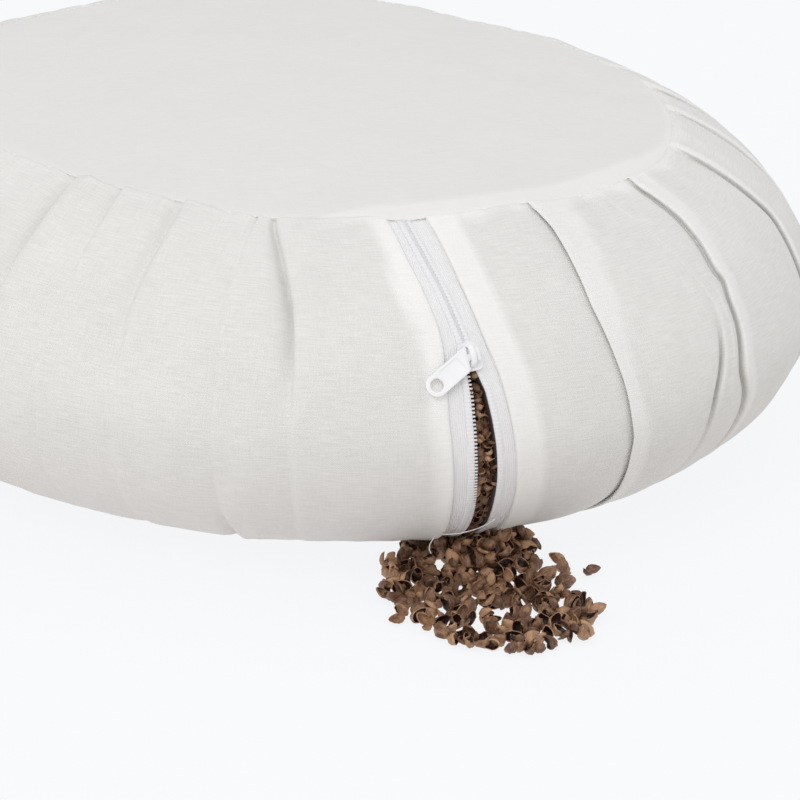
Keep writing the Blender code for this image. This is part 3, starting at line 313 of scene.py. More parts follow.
# The stray thread, with the route of the part's source.
THREAD_THICK = 0.36 * MM
THREAD_LIFT = 1.35 * MM
THREAD_ON_SIDE = ((4.9, 0.655), (4.4, 0.677), (3.6, 0.698), (2.3, 0.714), (0.9, 0.716))
THREAD_DROP = (
    (0.0, 175 * MM, 18.6 * MM), (-0.4, 174 * MM, 16.0 * MM),
    (-0.7, 174 * MM, 13.6 * MM), (-0.5, 175 * MM, 11.6 * MM),
)
THREAD_POINTS = 20
THREAD_FINENESS = 12

# The camera: where it stands round the axis, how it is turned, and its lens.
CAMERA_AZIMUTH = -18.0
CAMERA_ELEVATION = 19.55
CAMERA_DISTANCE = 1.200
CAMERA_AIM_HEIGHT = 0.07
CAMERA_YAW = -2.068
CAMERA_PITCH = -3.143
CAMERA_ROLL = -3.790
CAMERA_LENS = 138.68


# --- Sizes and colours that a user would change ------------------------------------------


class ZafuCloth(bpy.types.PropertyGroup):
    """The cotton of the cover and its panels."""

    thread_pitch: FloatProperty(
        name="Thread pitch", description="Distance from thread to thread", default=0.00046, unit="LENGTH")
    slub_length: FloatProperty(
        name="Slub length", description="How long the thicker places of a thread are",
        default=0.008, unit="LENGTH")
    slub_depth: FloatProperty(
        name="Slub tone", description="How much darker a slub is", default=0.085, subtype="FACTOR")
    colour: FloatVectorProperty(
        name="Cotton", description="Colour of one layer of cloth",
        default=(0.755, 0.750, 0.735), subtype="COLOR")
    doubled: FloatVectorProperty(
        name="Doubled cotton", description="Colour where two layers lie",
        default=(0.880, 0.875, 0.862), subtype="COLOR")


class ZafuZip(bpy.types.PropertyGroup):
    """The zip's tapes, coils and slider."""

    tooth_pitch: FloatProperty(
        name="Tooth pitch", description="Distance from tooth to tooth", default=0.00133, unit="LENGTH")
    band_width: FloatProperty(
        name="Coil width", description="Width of one coil", default=0.0025, unit="LENGTH")
    tape_colour: FloatVectorProperty(
        name="Tape", description="Colour of the tapes", default=(0.90, 0.895, 0.91), subtype="COLOR")
    coil_colour: FloatVectorProperty(
        name="Coil", description="Colour of the coils", default=(0.84, 0.84, 0.86), subtype="COLOR")
    enamel_colour: FloatVectorProperty(
        name="Enamel", description="Colour of the slider and pull",
        default=(0.89, 0.89, 0.91), subtype="COLOR")


class ZafuHulls(bpy.types.PropertyGroup):
    """The filling, as it shows in the zip and on the floor."""

    length: FloatProperty(
        name="Hull length", description="Length of one lobe", default=0.0058, unit="LENGTH")
    width: FloatProperty(
        name="Hull width", description="Width of one lobe", default=0.0045, unit="LENGTH")
    spacing: FloatProperty(
        name="Hull spacing", description="Least distance between hulls in the heap",
        default=0.0032, unit="LENGTH")
    tries: IntProperty(
        name="Tries", description="How many places are tried for hulls", default=8000)
    outside: FloatVectorProperty(
        name="Outside", description="Colour of the hull's back",
        default=(0.190, 0.070, 0.026), subtype="COLOR")
    pale: FloatVectorProperty(
        name="Pale hull", description="Colour of the palest backs and rims",
        default=(0.55, 0.315, 0.175), subtype="COLOR")
    # Painted shade: the hollow's colour is near black, standing in for the shade inside the cup.
    inside: FloatVectorProperty(
        name="Inside", description="Colour of the hull's hollow",
        default=(0.030, 0.011, 0.007), subtype="COLOR")


class ZafuStage(bpy.types.PropertyGroup):
    """The floor and the light."""

    floor_colour: FloatVectorProperty(
        name="Floor", description="Colour of the floor", default=(0.925, 0.935, 0.955), subtype="COLOR")
    sky: FloatProperty(
        name="Sky", description="Strength of the light from above and all round",
        default=0.80)
    bounce: FloatVectorProperty(
        name="Bounce", description="Colour of the light from below",
        default=(0.89, 0.855, 0.835), subtype="COLOR")
    key: FloatProperty(
        name="Key light", description="Power of the large light at the left",
        default=15.0, unit="POWER")
    fill: FloatProperty(
        name="Fill light", description="Power of the light overhead",
        default=3.4, unit="POWER")
    low: FloatProperty(
        name="Low light", description="Power of the floor's light at the left",
        default=2.6, unit="POWER")


# --- The side's curve --------------------------------------------------------------------


def superellipse(turns, across, rise, reach_power, rise_power):
    """Radii and heights over the girth for angles that run from 0 at the girth."""
    return across * np.cos(turns) ** (2 / reach_power), rise * np.sin(turns) ** (2 / rise_power)


def side_curve():
    """The side from the top seam down to the floor: radii, heights, shares and its length."""
    seam_turn = math.acos((SEAM_RADIUS / GIRTH_RADIUS) ** (UPPER_REACH_POWER / 2))
    floor_turn = math.asin((GIRTH_HEIGHT / LOWER_DROP) ** (LOWER_DROP_POWER / 2))
    upper = np.linspace(seam_turn, 0, CURVE_POINTS)
    lower = np.linspace(0, floor_turn, CURVE_POINTS)[1:]
    powers = UPPER_REACH_POWER, UPPER_RISE_POWER
    upper_r, rise = superellipse(upper, GIRTH_RADIUS, UPPER_RISE, *powers)
    powers = LOWER_REACH_POWER, LOWER_DROP_POWER
    lower_r, drop = superellipse(lower, GIRTH_RADIUS, LOWER_DROP, *powers)
    radii = np.concatenate([upper_r, lower_r])
    heights = np.concatenate([GIRTH_HEIGHT + rise, GIRTH_HEIGHT - drop])
    length = np.concatenate([[0], np.cumsum(np.hypot(np.diff(radii), np.diff(heights)))])
    return radii, heights, length / length[-1], float(length[-1])


SIDE_RADII, SIDE_HEIGHTS, SIDE_SHARES, SIDE_LENGTH = side_curve()
SEAM_HEIGHT = float(SIDE_HEIGHTS[0])
FLOOR_RADIUS = float(SIDE_RADII[-1])


def side_place(share):
    """Radii and heights of the even side at shares of its length."""
    return np.interp(share, SIDE_SHARES, SIDE_RADII), np.interp(share, SIDE_SHARES, SIDE_HEIGHTS)


def side_out(share):
    """The side's outward directions, as their parts away from the axis and upwards."""
    reach = 0.01
    above = side_place(np.maximum(np.asarray(share) - reach, 0.0))
    below = side_place(np.minimum(np.asarray(share) + reach, 1.0))
    away, up = above[1] - below[1], below[0] - above[0]
    size = np.hypot(away, up)
    return away / size, up / size


def seam_wave(azimuth):
    """How far the drawn-in seam strays from its even ring at azimuths."""
    turn = np.radians(azimuth)
    waves = sum(wave.height * np.sin(wave.turns * turn + wave.phase) for wave in SEAM_WAVES)
    apart = (np.asarray(azimuth) + 180.0) % 360.0 - 180.0
    dips = (dip.height * np.exp(-(((apart - dip.azimuth) / dip.spread) ** 2)) for dip in SEAM_DIPS)
    return waves + sum(dips)


def around(azimuth, radius, height):
    """Points at azimuths, radii and heights, one to a row."""
    turn = np.radians(azimuth)
    places = np.broadcast_arrays(radius * np.sin(turn), -radius * np.cos(turn), height)
    return np.stack(places, axis=-1)


def on_side(azimuth, share, lift):
    """Points of the side at azimuths and shares of its length, lifted off it."""
    radius, height = side_place(share)
    away, up = side_out(share)
    wave = seam_wave(azimuth) * np.maximum(0.0, 1.0 - np.asarray(share) / WAVE_REACH)
    return around(azimuth, radius + away * lift, height + up * lift + wave)


def degrees_across(distance, share):
    """The azimuth that a distance round the side takes up."""
    return np.degrees(distance / side_place(share)[0])


def zip_place(line, share):
    """The azimuth of one of the zip's lines at shares of the side."""
    shares = [place.share for place in ZIP_LINES]
    return np.interp(share, shares, [getattr(place, line) for place in ZIP_LINES])


# --- Blender helpers ---------------------------------------------------------------------


def add_object(name, data):
    """A new object in the scene."""
    obj = bpy.data.objects.new(name, data)
    bpy.context.scene.collection.objects.link(obj)
    return obj


def mesh_object(name, verts, faces, finish):
    """A named smooth object from points and faces."""
    mesh = bpy.data.meshes.new(name)
    mesh.from_pydata([tuple(map(float, vert)) for vert in verts], [], faces)
    mesh.update()
    mesh.materials.append(finish)
    mesh.shade_smooth()
    obj = add_object(name, mesh)
    return obj


def put_values(obj, name, values, domain="POINT"):
    """Keeps one number for each point or face of a mesh."""
    layer = obj.data.attributes.new(name, "FLOAT", domain)
    layer.data.foreach_set("value", np.asarray(values, np.float32))


def put_map(obj, places):
    """Gives a mesh its map of the cloth in metres, one place for each corner of its faces."""
    layer = obj.data.uv_layers.new(name="cloth")
    layer.data.foreach_set("uv", np.asarray(places, np.float32).ravel())


def settle(obj, *nodes):
    """Makes a piece ride on the body and stand for its nodes."""
    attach(obj, "root")
    if nodes:
        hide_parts(*nodes)


def only_select(obj, *others):
    """Leaves nothing selected but an object, which is made the active one, and some others."""
    bpy.ops.object.select_all(action="DESELECT")
    for one in (obj, *others):
        one.select_set(True)
    bpy.context.view_layer.objects.active = obj


def modify(obj, kind, **settings):
    """Adds a modifier to a piece and applies it."""
    modifier = obj.modifiers.new(kind, kind)
    for name, value in settings.items():
        setattr(modifier, name, value)
    only_select(obj)
    bpy.ops.object.modifier_apply(modifier=modifier.name)


def primitive(kind, stretch=(1.0, 1.0, 1.0), **settings):
    """A primitive of a kind, with its place, turn and stretch applied."""
    bpy.ops.object.select_all(action="DESELECT")
    getattr(bpy.ops.mesh, f"primitive_{kind}_add")(**settings)
    obj = bpy.context.active_object
    obj.scale = stretch
    bpy.ops.object.transform_apply(location=True, rotation=True, scale=True)
    return obj


def tube(name, kind, route, thick, resolution):
    """A round bar along a route, as a curve."""
    curve = bpy.data.curves.new(name, "CURVE")
    curve.dimensions = "3D"
    curve.bevel_depth = thick / 2
    curve.bevel_resolution = resolution
    curve.use_fill_caps = True
    spline = curve.splines.new(kind)
    smooth = kind == "BEZIER"
    points = spline.bezier_points if smooth else spline.points
    points.add(len(route) - 1)
    for point, place in zip(points, route):
        point.co = place if smooth else (*place, 1.0)
        if smooth:
            point.handle_left_type = point.handle_right_type = "AUTO"
    return add_object(name, curve)


def axes_at(place, *axes):
    """The placing whose +X, +Y and +Z are three axes."""
    return Matrix.Translation(place) @ Matrix(axes).transposed().to_4x4()


def grid_faces(rows, columns, closed=False):
    """Quads of a grid of points that are kept row by row."""
    faces = []
    for row in range(rows - 1):
        for column in range(columns if closed else columns - 1):
            a = row * columns + column
            b = row * columns + (column + 1) % columns
            faces.append((a, b, b + columns, a + columns))
    return faces


# --- Materials ---------------------------------------------------------------------------


class Signal:
    """A value on its way through a material's nodes; arithmetic with it adds nodes."""

    def __init__(self, nodes, socket):
        self.nodes, self.socket = nodes, socket

    def __add__(self, other):
        return self.nodes.math("ADD", self, other)

    def __mul__(self, other):
        return self.nodes.math("MULTIPLY", self, other)

    def __sub__(self, other):
        return self.nodes.math("SUBTRACT", self, other)

    def __rsub__(self, other):
        return self.nodes.math("SUBTRACT", other, self)

    __radd__, __rmul__ = __add__, __mul__

    def wave(self, length):
        """A sine with one turn for each length of this value."""
        return self.nodes.math("SINE", self * (math.tau / length))


class Nodes:
    """Short ways to wire the nodes of a material, named here, or of a world that is given."""

    def __init__(self, name, world=None):
        self.made = world or bpy.data.materials.new(name)
        self.made.use_nodes = True
        self.tree = self.made.node_tree

    def set(self, socket, value):
        if isinstance(value, Signal):
            self.tree.links.new(value.socket, socket)
        else:
            socket.default_value = value

    def add(self, kind, output, inputs, **settings):
        """Adds a node and gives one of its outputs, by name or by number."""
        node = self.tree.nodes.new(kind)
        for name, value in settings.items():
            setattr(node, name, value)
        for name, value in inputs.items():
            self.set(node.inputs[name], value)
        return Signal(self, node.outputs[output])

    def math(self, operation, first, second=0.0, clamp=False):
        inputs = {0: first, 1: second}
        return self.add("ShaderNodeMath", 0, inputs, operation=operation, use_clamp=clamp)

    def mix(self, share, first, second):
        return self.add("ShaderNodeMix", 2, {0: share, 6: first, 7: second}, data_type="RGBA")

    def parts(self, place):
        """A place's X and Y."""
        return [self.add("ShaderNodeSeparateXYZ", axis, {"Vector": place}) for axis in "XY"]

    def noise(self, place, scale, detail=2.0, roughness=0.5):
        """Noise over a place that is first scaled, for each axis or for all of them."""
        scale = (scale,) * 3 if isinstance(scale, float) else scale
        place = self.add("ShaderNodeMapping", "Vector", {"Vector": place, "Scale": scale})
        inputs = {"Vector": place, "Scale": 1.0, "Detail": detail, "Roughness": roughness}
        return self.add("ShaderNodeTexNoise", "Fac", inputs)

    def value(self, name):
        return self.add("ShaderNodeAttribute", "Fac", {}, attribute_name=name)

    def coordinates(self, map_name=None):
        if map_name:
            return self.add("ShaderNodeUVMap", "UV", {}, uv_map=map_name)
        return self.add("ShaderNodeTexCoord", "Object", {})

    def bump(self, height, distance, strength=1.0):
        inputs = {"Height": height, "Distance": distance, "Strength": strength}
        return self.add("ShaderNodeBump", "Normal", inputs)

    def lightened(self, colour, value):
        return self.add("ShaderNodeHueSaturation", "Color", {"Color": colour, "Value": value})

    def finish(self, colour, normal, **others):
        """Sets the shader's inputs, and gives the material."""
        shader = self.tree.nodes["Principled BSDF"].inputs
        self.set(shader["Base Color"], colour)
        if normal:
            self.set(shader["Normal"], normal)
        for name, value in others.items():
            self.set(shader[SHADER_INPUTS[name]], value)
        return self.made


SHADER_INPUTS = {
    "rough": "Roughness", "specular": "Specular IOR Level", "sheen": "Sheen Weight",
    "sheen_rough": "Sheen Roughness", "coat": "Coat Weight", "coat_rough": "Coat Roughness",
    "glow": "Emission Color", "glow_strength": "Emission Strength",
}


def rgb(colour, factor=1.0):
    return (*(part * factor for part in colour), 1.0)


def cotton(name, sizes, contrast, map_name=None):
    """Natural cotton: a plain weave with slubs, greyer where one layer lies over the filling, and painted
    near-black shade deep in the channel behind the open coils.
    """
    nodes = Nodes(name)
    place, solid = nodes.coordinates(map_name), nodes.coordinates()
    warp, weft = (part.wave(2 * sizes.thread_pitch) for part in nodes.parts(place))
    along, beside = 1.0 / sizes.slub_length, 1.0 / sizes.thread_pitch
    level = nodes.noise(place, (along, beside, 1.0), 3.0, 0.6)
    slubs = level + nodes.noise(place, (beside, along, 1.0), 3.0, 0.6) * 0.5
    cloudy = nodes.noise(solid, 38.0, 3.0, 0.55)
    tone = (slubs - 0.75) * (sizes.slub_depth * 3.6 * contrast)
    tone = tone + (cloudy - 0.5) * (0.09 * contrast)
    layers = nodes.value("layers")
    colour = nodes.mix(layers, rgb(sizes.colour), rgb(sizes.doubled))
    # Painted shade: the cloth deep behind the open coils is mixed to near black.
    colour = nodes.mix(nodes.value("pocket"), colour, rgb(POCKET_SHADE_COLOUR))
    calmer = 1.0 - layers * 0.5
    height = warp * weft * 0.35 + slubs * 1.1
    return nodes.finish(
        nodes.lightened(colour, 1.0 + tone * calmer), nodes.bump(height, 0.00016, 0.6 * contrast),
        rough=0.92, specular=0.2, sheen=0.12, sheen_rough=0.6)


def tape_cloth(sizes):
    """The tape's woven cloth, ribbed along its length."""
    nodes = Nodes("zip_tape_cloth")
    place = nodes.coordinates("cloth")
    across, along = nodes.parts(place)
    ribs, picks = across.wave(RIB_PITCH), along.wave(PICK_PITCH)
    worn = nodes.noise(place, (700.0, 90.0, 1.0))
    colour = nodes.lightened(rgb(sizes.tape_colour), 0.94 + (ribs * 0.03 + worn * 0.10))
    height = ribs + picks * 0.45
    return nodes.finish(colour, nodes.bump(height, 0.00012, 0.7), rough=0.8, specular=0.25)


def coil_plastic(sizes):
    """Satin nylon with the fine lines of its windings."""
    nodes = Nodes("zip_coil_nylon")
    winding = nodes.parts(nodes.coordinates("cloth"))[1].wave(sizes.tooth_pitch)
    colour = nodes.lightened(rgb(sizes.coil_colour), 0.965 + winding * 0.035)
    return nodes.finish(colour, nodes.bump(winding, 0.00012, 0.35), rough=0.42, specular=0.35)


def enamel(sizes):
    """White enamel over metal, a little uneven, duller where fingers rub it."""
    nodes = Nodes("white_enamel_paint")
    place = nodes.coordinates()
    uneven, rubbed = nodes.noise(place, 900.0), nodes.noise(place, 260.0)
    colour = nodes.lightened(rgb(sizes.enamel_colour), 0.97 + rubbed * 0.05)
    return nodes.finish(
        colour, nodes.bump(uneven, 0.00004, 0.5), rough=0.24 + rubbed * 0.24, coat=0.3, coat_rough=0.2)


def hull_skin(sizes):
    """Dry hulls: striped brown backs, a hollow painted near black as shade, and a pale rim, each hull of
    its own tone.
    """
    nodes = Nodes("buckwheat_hull_skin")
    hollow, tone, rim = nodes.value("hollow"), nodes.value("tone"), nodes.value("rim")
    stripes = nodes.noise(nodes.coordinates("cloth"), (34.0, 3.0, 1.0), 3.0, 0.6)
    patches = nodes.noise(nodes.coordinates(), 330.0, 3.0, 0.6)
    paleness = nodes.math("POWER", tone, 2.6) + stripes * 1.5 + patches * 1.7
    paleness = nodes.math("SUBTRACT", paleness, 1.52, True)
    back = nodes.mix(paleness, rgb(sizes.outside, 0.55), rgb(sizes.pale))
    # Painted shade: the hollows are coloured near black, mottled by the patches.
    deep = nodes.mix(patches, rgb(sizes.inside, 0.5), rgb(sizes.inside, 1.8))
    colour = nodes.mix(rim * 0.65, nodes.mix(hollow, back, deep), rgb(sizes.pale, 1.25))
    normal = nodes.bump(stripes + patches * 0.6, 0.00040, 0.9)
    return nodes.finish(colour, normal, rough=0.52 - hollow * 0.22, specular=0.6)


def thread_cotton(colour):
    """Twisted white sewing thread."""
    nodes = Nodes("white_sewing_thread")
    fuzz = nodes.noise(nodes.coordinates(), (2400.0, 2400.0, 1200.0))
    colour = nodes.lightened(rgb(colour), 0.90 + fuzz * 0.2)
    return nodes.finish(colour, nodes.bump(fuzz, 0.0001, 0.6), rough=0.75)


# --- The cover ---------------------------------------------------------------------------


def rear_folds():
    """The pleats of the sides and the back, which the photograph doesn't show."""
    draw = random.Random(PLEAT_SEED)
    character = random.Random(PLEAT_SEED + 1)
    folds = []
    for number in range(REAR_PLEATS):
        azimuth = REAR_FIRST + (REAR_LAST - REAR_FIRST) * number / (REAR_PLEATS - 1)
        top = azimuth + draw.uniform(-REAR_STRAY, REAR_STRAY)
        bulge = top + draw.uniform(-REAR_STRAY, REAR_STRAY)
        foot = bulge + draw.uniform(-REAR_STRAY, REAR_STRAY)
        deep_top = draw.uniform(1.5, 2.6)
        deep_bulge = draw.uniform(0.6, 3.0)
        deep_foot = draw.uniform(0.6, 2.4)
        flat = character.uniform(0.0, 1.2)
        flat = min(flat, 1.0) if flat > 0.45 else 0.0
        sharp = min(1.0, deep_bulge / 2.0) * max(flat, 0.25)
        high, low = (deep_top + deep_bulge) / 2, (deep_bulge + deep_foot) / 2
        folds.append(Fold(1.0, [Station(*one) for one in (
            (0.00, top, 0.4, 0.0, 11 * flat),
            (0.04, top * 0.97 + bulge * 0.03, deep_top * 0.7, 0.2 + 0.5 * flat, 11 * flat),
            (0.12, top * 0.8 + bulge * 0.2, deep_top, 0.2 + 0.6 * flat, 10 * flat),
            (0.24, top * 0.4 + bulge * 0.6, high, 0.1 + 0.8 * flat, 9 * flat),
            (0.42, bulge, deep_bulge, sharp, 9 * flat),
            (0.60, bulge * 0.6 + foot * 0.4, low, sharp, 8 * flat),
            (0.78, bulge * 0.25 + foot * 0.75, deep_foot, sharp, 6 * flat),
            (0.92, foot, 0.5, 0.0, 0),
        )]))
    return folds


def smoothed(values, passes=2):
    """Evens out a run of values without moving its ends."""
    for _ in range(passes):
        inner = (values[:-2] + 2 * values[1:-1] + values[2:]) / 4
        values = np.concatenate([values[:1], inner, values[-1:]])
    return values


def fold_values(fold, rows, name):
    shares = [station.share for station in fold.stations]
    return smoothed(np.interp(rows, shares, [getattr(station, name) for station in fold.stations]))


def fold_lines(fold, rows, room_left, room_right):
    """A fold's lines across: azimuths and lifts, one row of each for every line."""
    middle = fold_values(fold, rows, "azimuth")
    depth = fold_values(fold, rows, "depth") * MM
    sharp = fold_values(fold, rows, "sharp")
    azimuths, lifts = [], []
    for line in SECTION:
        across = (line.lapped * sharp + line.soft * (1 - sharp)) * fold.width * MM
        room = room_left if line.soft < 0 else room_right
        squeeze = np.minimum(1.0, room / (abs(SECTION[0].soft) * fold.width * MM))
        share_of_depth = line.lapped_depth * sharp + line.soft_depth * (1 - sharp)
        azimuths.append(middle + degrees_across(across * squeeze, rows))
        lifts.append(-depth * share_of_depth)
    return azimuths, lifts


def channel_lines(rows):
    """The lines of the zip's channel, from the cloth on its left to the cloth on its right."""
    left, right = zip_place("fold_left", rows), zip_place("fold_right", rows)
    inner_left, inner_right = zip_place("chain_left", rows), zip_place("chain_right", rows)
    narrow = degrees_across(0.4 * MM, rows)
    open_deep = np.interp(rows, (0.30, 0.345, 0.80, 0.88), (0.0, POCKET_DEPTH, POCKET_DEPTH * 0.8, 0.0))
    lip = LIP * np.interp(rows, (0.0, 0.03, 0.84, 0.92), (0.4, 1.0, 1.0, 0.2))
    floor = CHANNEL_DEPTH * np.interp(rows, (0.0, 0.01, 0.86, 0.92), (0.70, 1.0, 1.0, 0.55))
    zero = np.zeros_like(rows)
    beside = (LIP_SPREAD, 5.0 * MM, 2.2 * MM, 1.0 * MM, 0.35 * MM, 0.0, 0.05 * MM, TUCK, TUCK + 0.2 * MM)
    rises = (zero, lip * 0.55, lip * 0.95, lip, lip * 0.8, lip * 0.2, -floor * 0.42, -floor * 0.45, -floor)
    off = [degrees_across(distance, rows) for distance in beside]
    middle = (inner_left + inner_right) / 2
    pocket_left = np.minimum(inner_left, middle - narrow)
    pocket_right = np.maximum(inner_right, middle + narrow)
    deep = -floor - open_deep - 0.3 * MM
    azimuths = [left - step for step in off]
    azimuths += [pocket_left, pocket_left, pocket_right, pocket_right]
    azimuths += [right + step for step in reversed(off)]
    return azimuths, [*rises, -floor, deep, deep, -floor, *reversed(rises)]


def plain_lines(before, after, rows):
    """Lines of plain cloth between two others, which puffs out a little."""
    radius = side_place(rows)[0].max()
    width = math.radians(float(np.median(after - before))) * radius
    count = max(1, round(width / PLAIN_STEP))
    azimuths, lifts = [], []
    for number in range(1, count + 1):
        across = number / (count + 1)
        puff = PUFF * min(1.0, width / 0.06) * math.sin(math.pi * across) ** 0.8
        azimuths.append(before + (after - before) * across)
        lifts.append(puff * np.sin(np.pi * np.minimum(rows / BOTTOM_SEAM, 1.0)))
    return azimuths, lifts


def stripe_values(fold, rows, azimuth):
    """How far cloth is doubled beside a fold, from 0 to 1, for one line."""
    middle = fold_values(fold, rows, "azimuth")
    stripe = fold_values(fold, rows, "stripe") * MM
    beside = np.radians(azimuth - middle) * side_place(rows)[0]
    inside = np.clip((stripe - beside) / LAYER_EDGE, 0.0, 1.0) * (beside > -0.7 * MM)
    return inside * (stripe > 1.5 * MM)


def cover_lines(rows):
    """Every line of the cover, once round: azimuths, lifts, and where each run of cloth starts."""
    folds = [*FRONT_FOLDS, *rear_folds()]
    folds.sort(key=lambda fold: fold.stations[0].azimuth)
    middles = [fold_values(fold, rows, "azimuth") for fold in folds]
    radius = side_place(rows)[0]
    zip_edges = (
        zip_place("fold_left", rows) - degrees_across(LIP_SPREAD, rows),
        zip_place("fold_right", rows) + degrees_across(LIP_SPREAD, rows),
    )
    zip_after = max(number for number, fold in enumerate(folds) if fold.stations[0].azimuth < 0)
    blocks = []
    for number, fold in enumerate(folds):
        behind = middles[number - 1] if number else middles[-1] - 360.0
        ahead = middles[number + 1] if number + 1 < len(folds) else middles[0] + 360.0
        if number == zip_after:
            ahead = 2 * zip_edges[0] - middles[number]
        if number == zip_after + 1:
            behind = 2 * zip_edges[1] - middles[number]
        room_left = np.radians(middles[number] - behind) * radius * 0.46
        room_right = np.radians(ahead - middles[number]) * radius * 0.46
        azimuths, lifts = fold_lines(fold, rows, room_left, room_right)
        blocks.append((azimuths, lifts, DEEPEST_LINE))
        if number == zip_after:
            azimuths, lifts = channel_lines(rows)
            blocks.append((azimuths, lifts, len(azimuths) // 2))
    lines, lifts, cuts = [], [], []
    for number, (block, block_lifts, deepest) in enumerate(blocks):
        cuts.append(len(lines) + deepest)
        lines += block
        lifts += block_lifts
        following = blocks[(number + 1) % len(blocks)][0][0]
        turn = 360.0 if number + 1 == len(blocks) else 0.0
        plain, plain_lifts = plain_lines(block[-1], following + turn, rows)
        lines += plain
        lifts += plain_lifts
    return folds, np.array(lines), np.array(lifts), cuts


def wrinkle_lift(azimuth, share):
    """The height of the soft wrinkles at places of the side."""
    lift = np.zeros_like(azimuth)
    radius = side_place(share)[0]
    for one in WRINKLES:
        along = (share - one.share) / (one.end_share - one.share)
        middle = one.azimuth + (one.end_azimuth - one.azimuth) * along
        beside = np.radians(azimuth - middle) * radius / (one.width * MM)
        if one.share > OWN_START:
            fade = np.sin(np.pi * np.clip(along, 0, 1))
        else:
            fade = np.clip(1 - along, 0, 1) ** 0.7 * np.clip(along * 6 + 1, 0, 1)
        lift += one.height * MM * fade * np.exp(-(beside**2))
    return lift


def crumple_lift(azimuth, share):
    """Small unevenness of stuffed cloth, drawn out from seam to seam, with puckers at the seam."""
    turn = np.radians(azimuth)
    share = np.broadcast_to(share, azimuth.shape)

    def noisy(t, s, lobes):
        return noise.noise(Vector((math.sin(t) * lobes, math.cos(t) * lobes, s)))

    values = [
        sum(share_of * noisy(t, s * down, lobes) for share_of, lobes, down in CRUMPLE_NOISES)
        for t, s in zip(turn.ravel(), share.ravel())
    ]
    stray = np.array([noisy(t, 3.0, 14) for t in turn.ravel()]).reshape(azimuth.shape)
    fade = np.exp(-((share * SIDE_LENGTH / PUCKER_REACH) ** 2))
    phase = turn * SEAM_RADIUS / PUCKER_PITCH * math.tau + stray * 5.0
    crumples = CRUMPLE * np.array(values).reshape(azimuth.shape)
    return crumples + PUCKER_HEIGHT * fade * np.sin(phase)


def layer_values(folds, azimuth, rows):
    """How far the cloth shows doubled at the places of the cover: seams, zip and pleats."""
    radius, _ = side_place(rows)
    turn = np.radians(azimuth)
    uneven = 1.6 * MM * np.sin(turn * 23) + 1.2 * MM * np.sin(turn * 51 + 1)
    turned = (azimuth + 180.0) % 360.0 - 180.0
    at_seam = np.clip((SEWN_ALLOWANCE + uneven - rows * SIDE_LENGTH) / (4.5 * MM), 0, 1)
    layers = at_seam * np.interp(turned, *zip(*SEAM_TONES))
    left = np.radians(zip_place("fold_left", rows) - azimuth) * radius
    right = np.radians(azimuth - zip_place("fold_right", rows)) * radius
    wide_left = ZIP_ALLOWANCE_LEFT * np.interp(rows, *zip(*ALLOWANCE_SHARES))
    for beside, wide in ((left, wide_left), (right, ZIP_ALLOWANCE_RIGHT)):
        layers = np.maximum(layers, (beside > 0) * np.clip((wide - beside) / LAYER_EDGE, 0, 1))
    for fold in folds:
        layers = np.maximum(layers, STRIPE_TONE * stripe_values(fold, rows, azimuth))
    return layers


def simulated(source):
    """The body's mesh before and after it is blown up as cloth: points, moves and how far held."""
    soft = source.copy()
    soft.data = source.data.copy()
    soft.parent = None
    soft.name = "stuffing_trial"
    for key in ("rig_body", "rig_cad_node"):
        if key in soft:
            del soft[key]
    bpy.context.scene.collection.objects.link(soft)
    soft.hide_viewport = soft.hide_render = False
    modify(soft, "REMESH", mode="VOXEL", voxel_size=0.006)
    rest = np.array([vert.co for vert in soft.data.vertices])
    radius = np.hypot(rest[:, 0], rest[:, 1])
    seam = np.hypot(radius - SEAM_RADIUS, rest[:, 2] - SEAM_HEIGHT)
    foot_radius, foot_height = side_place(BOTTOM_SEAM)
    foot = np.hypot(radius - foot_radius, rest[:, 2] - foot_height)
    held = soft.vertex_groups.new(name="held")
    strength = np.clip(1.2 - np.minimum(seam, foot) / 0.012, 0, 1)
    strength[radius < foot_radius] = 1.0
    for index in np.nonzero(strength > 0)[0]:
        held.add([int(index)], float(strength[index]), "REPLACE")
    cloth = soft.modifiers.new("cloth", "CLOTH")
    cloth.settings.use_pressure = True
    cloth.settings.uniform_pressure_force = 4.0
    cloth.settings.effector_weights.gravity = 0.0
    cloth.settings.vertex_group_mass = "held"
    cloth.settings.quality = 5
    cloth.settings.bending_stiffness = 0.6
    scene = bpy.context.scene
    for number in range(1, SWELL_FRAMES + 1):
        scene.frame_set(number)
    shaped = soft.evaluated_get(bpy.context.evaluated_depsgraph_get())
    moved = np.array([vert.co for vert in shaped.data.vertices]) - rest
    scene.frame_set(1)
    bpy.data.objects.remove(soft, do_unlink=True)
    side = (radius > foot_radius) & (strength < 1.0)
    return rest[side], moved[side], radius[side]


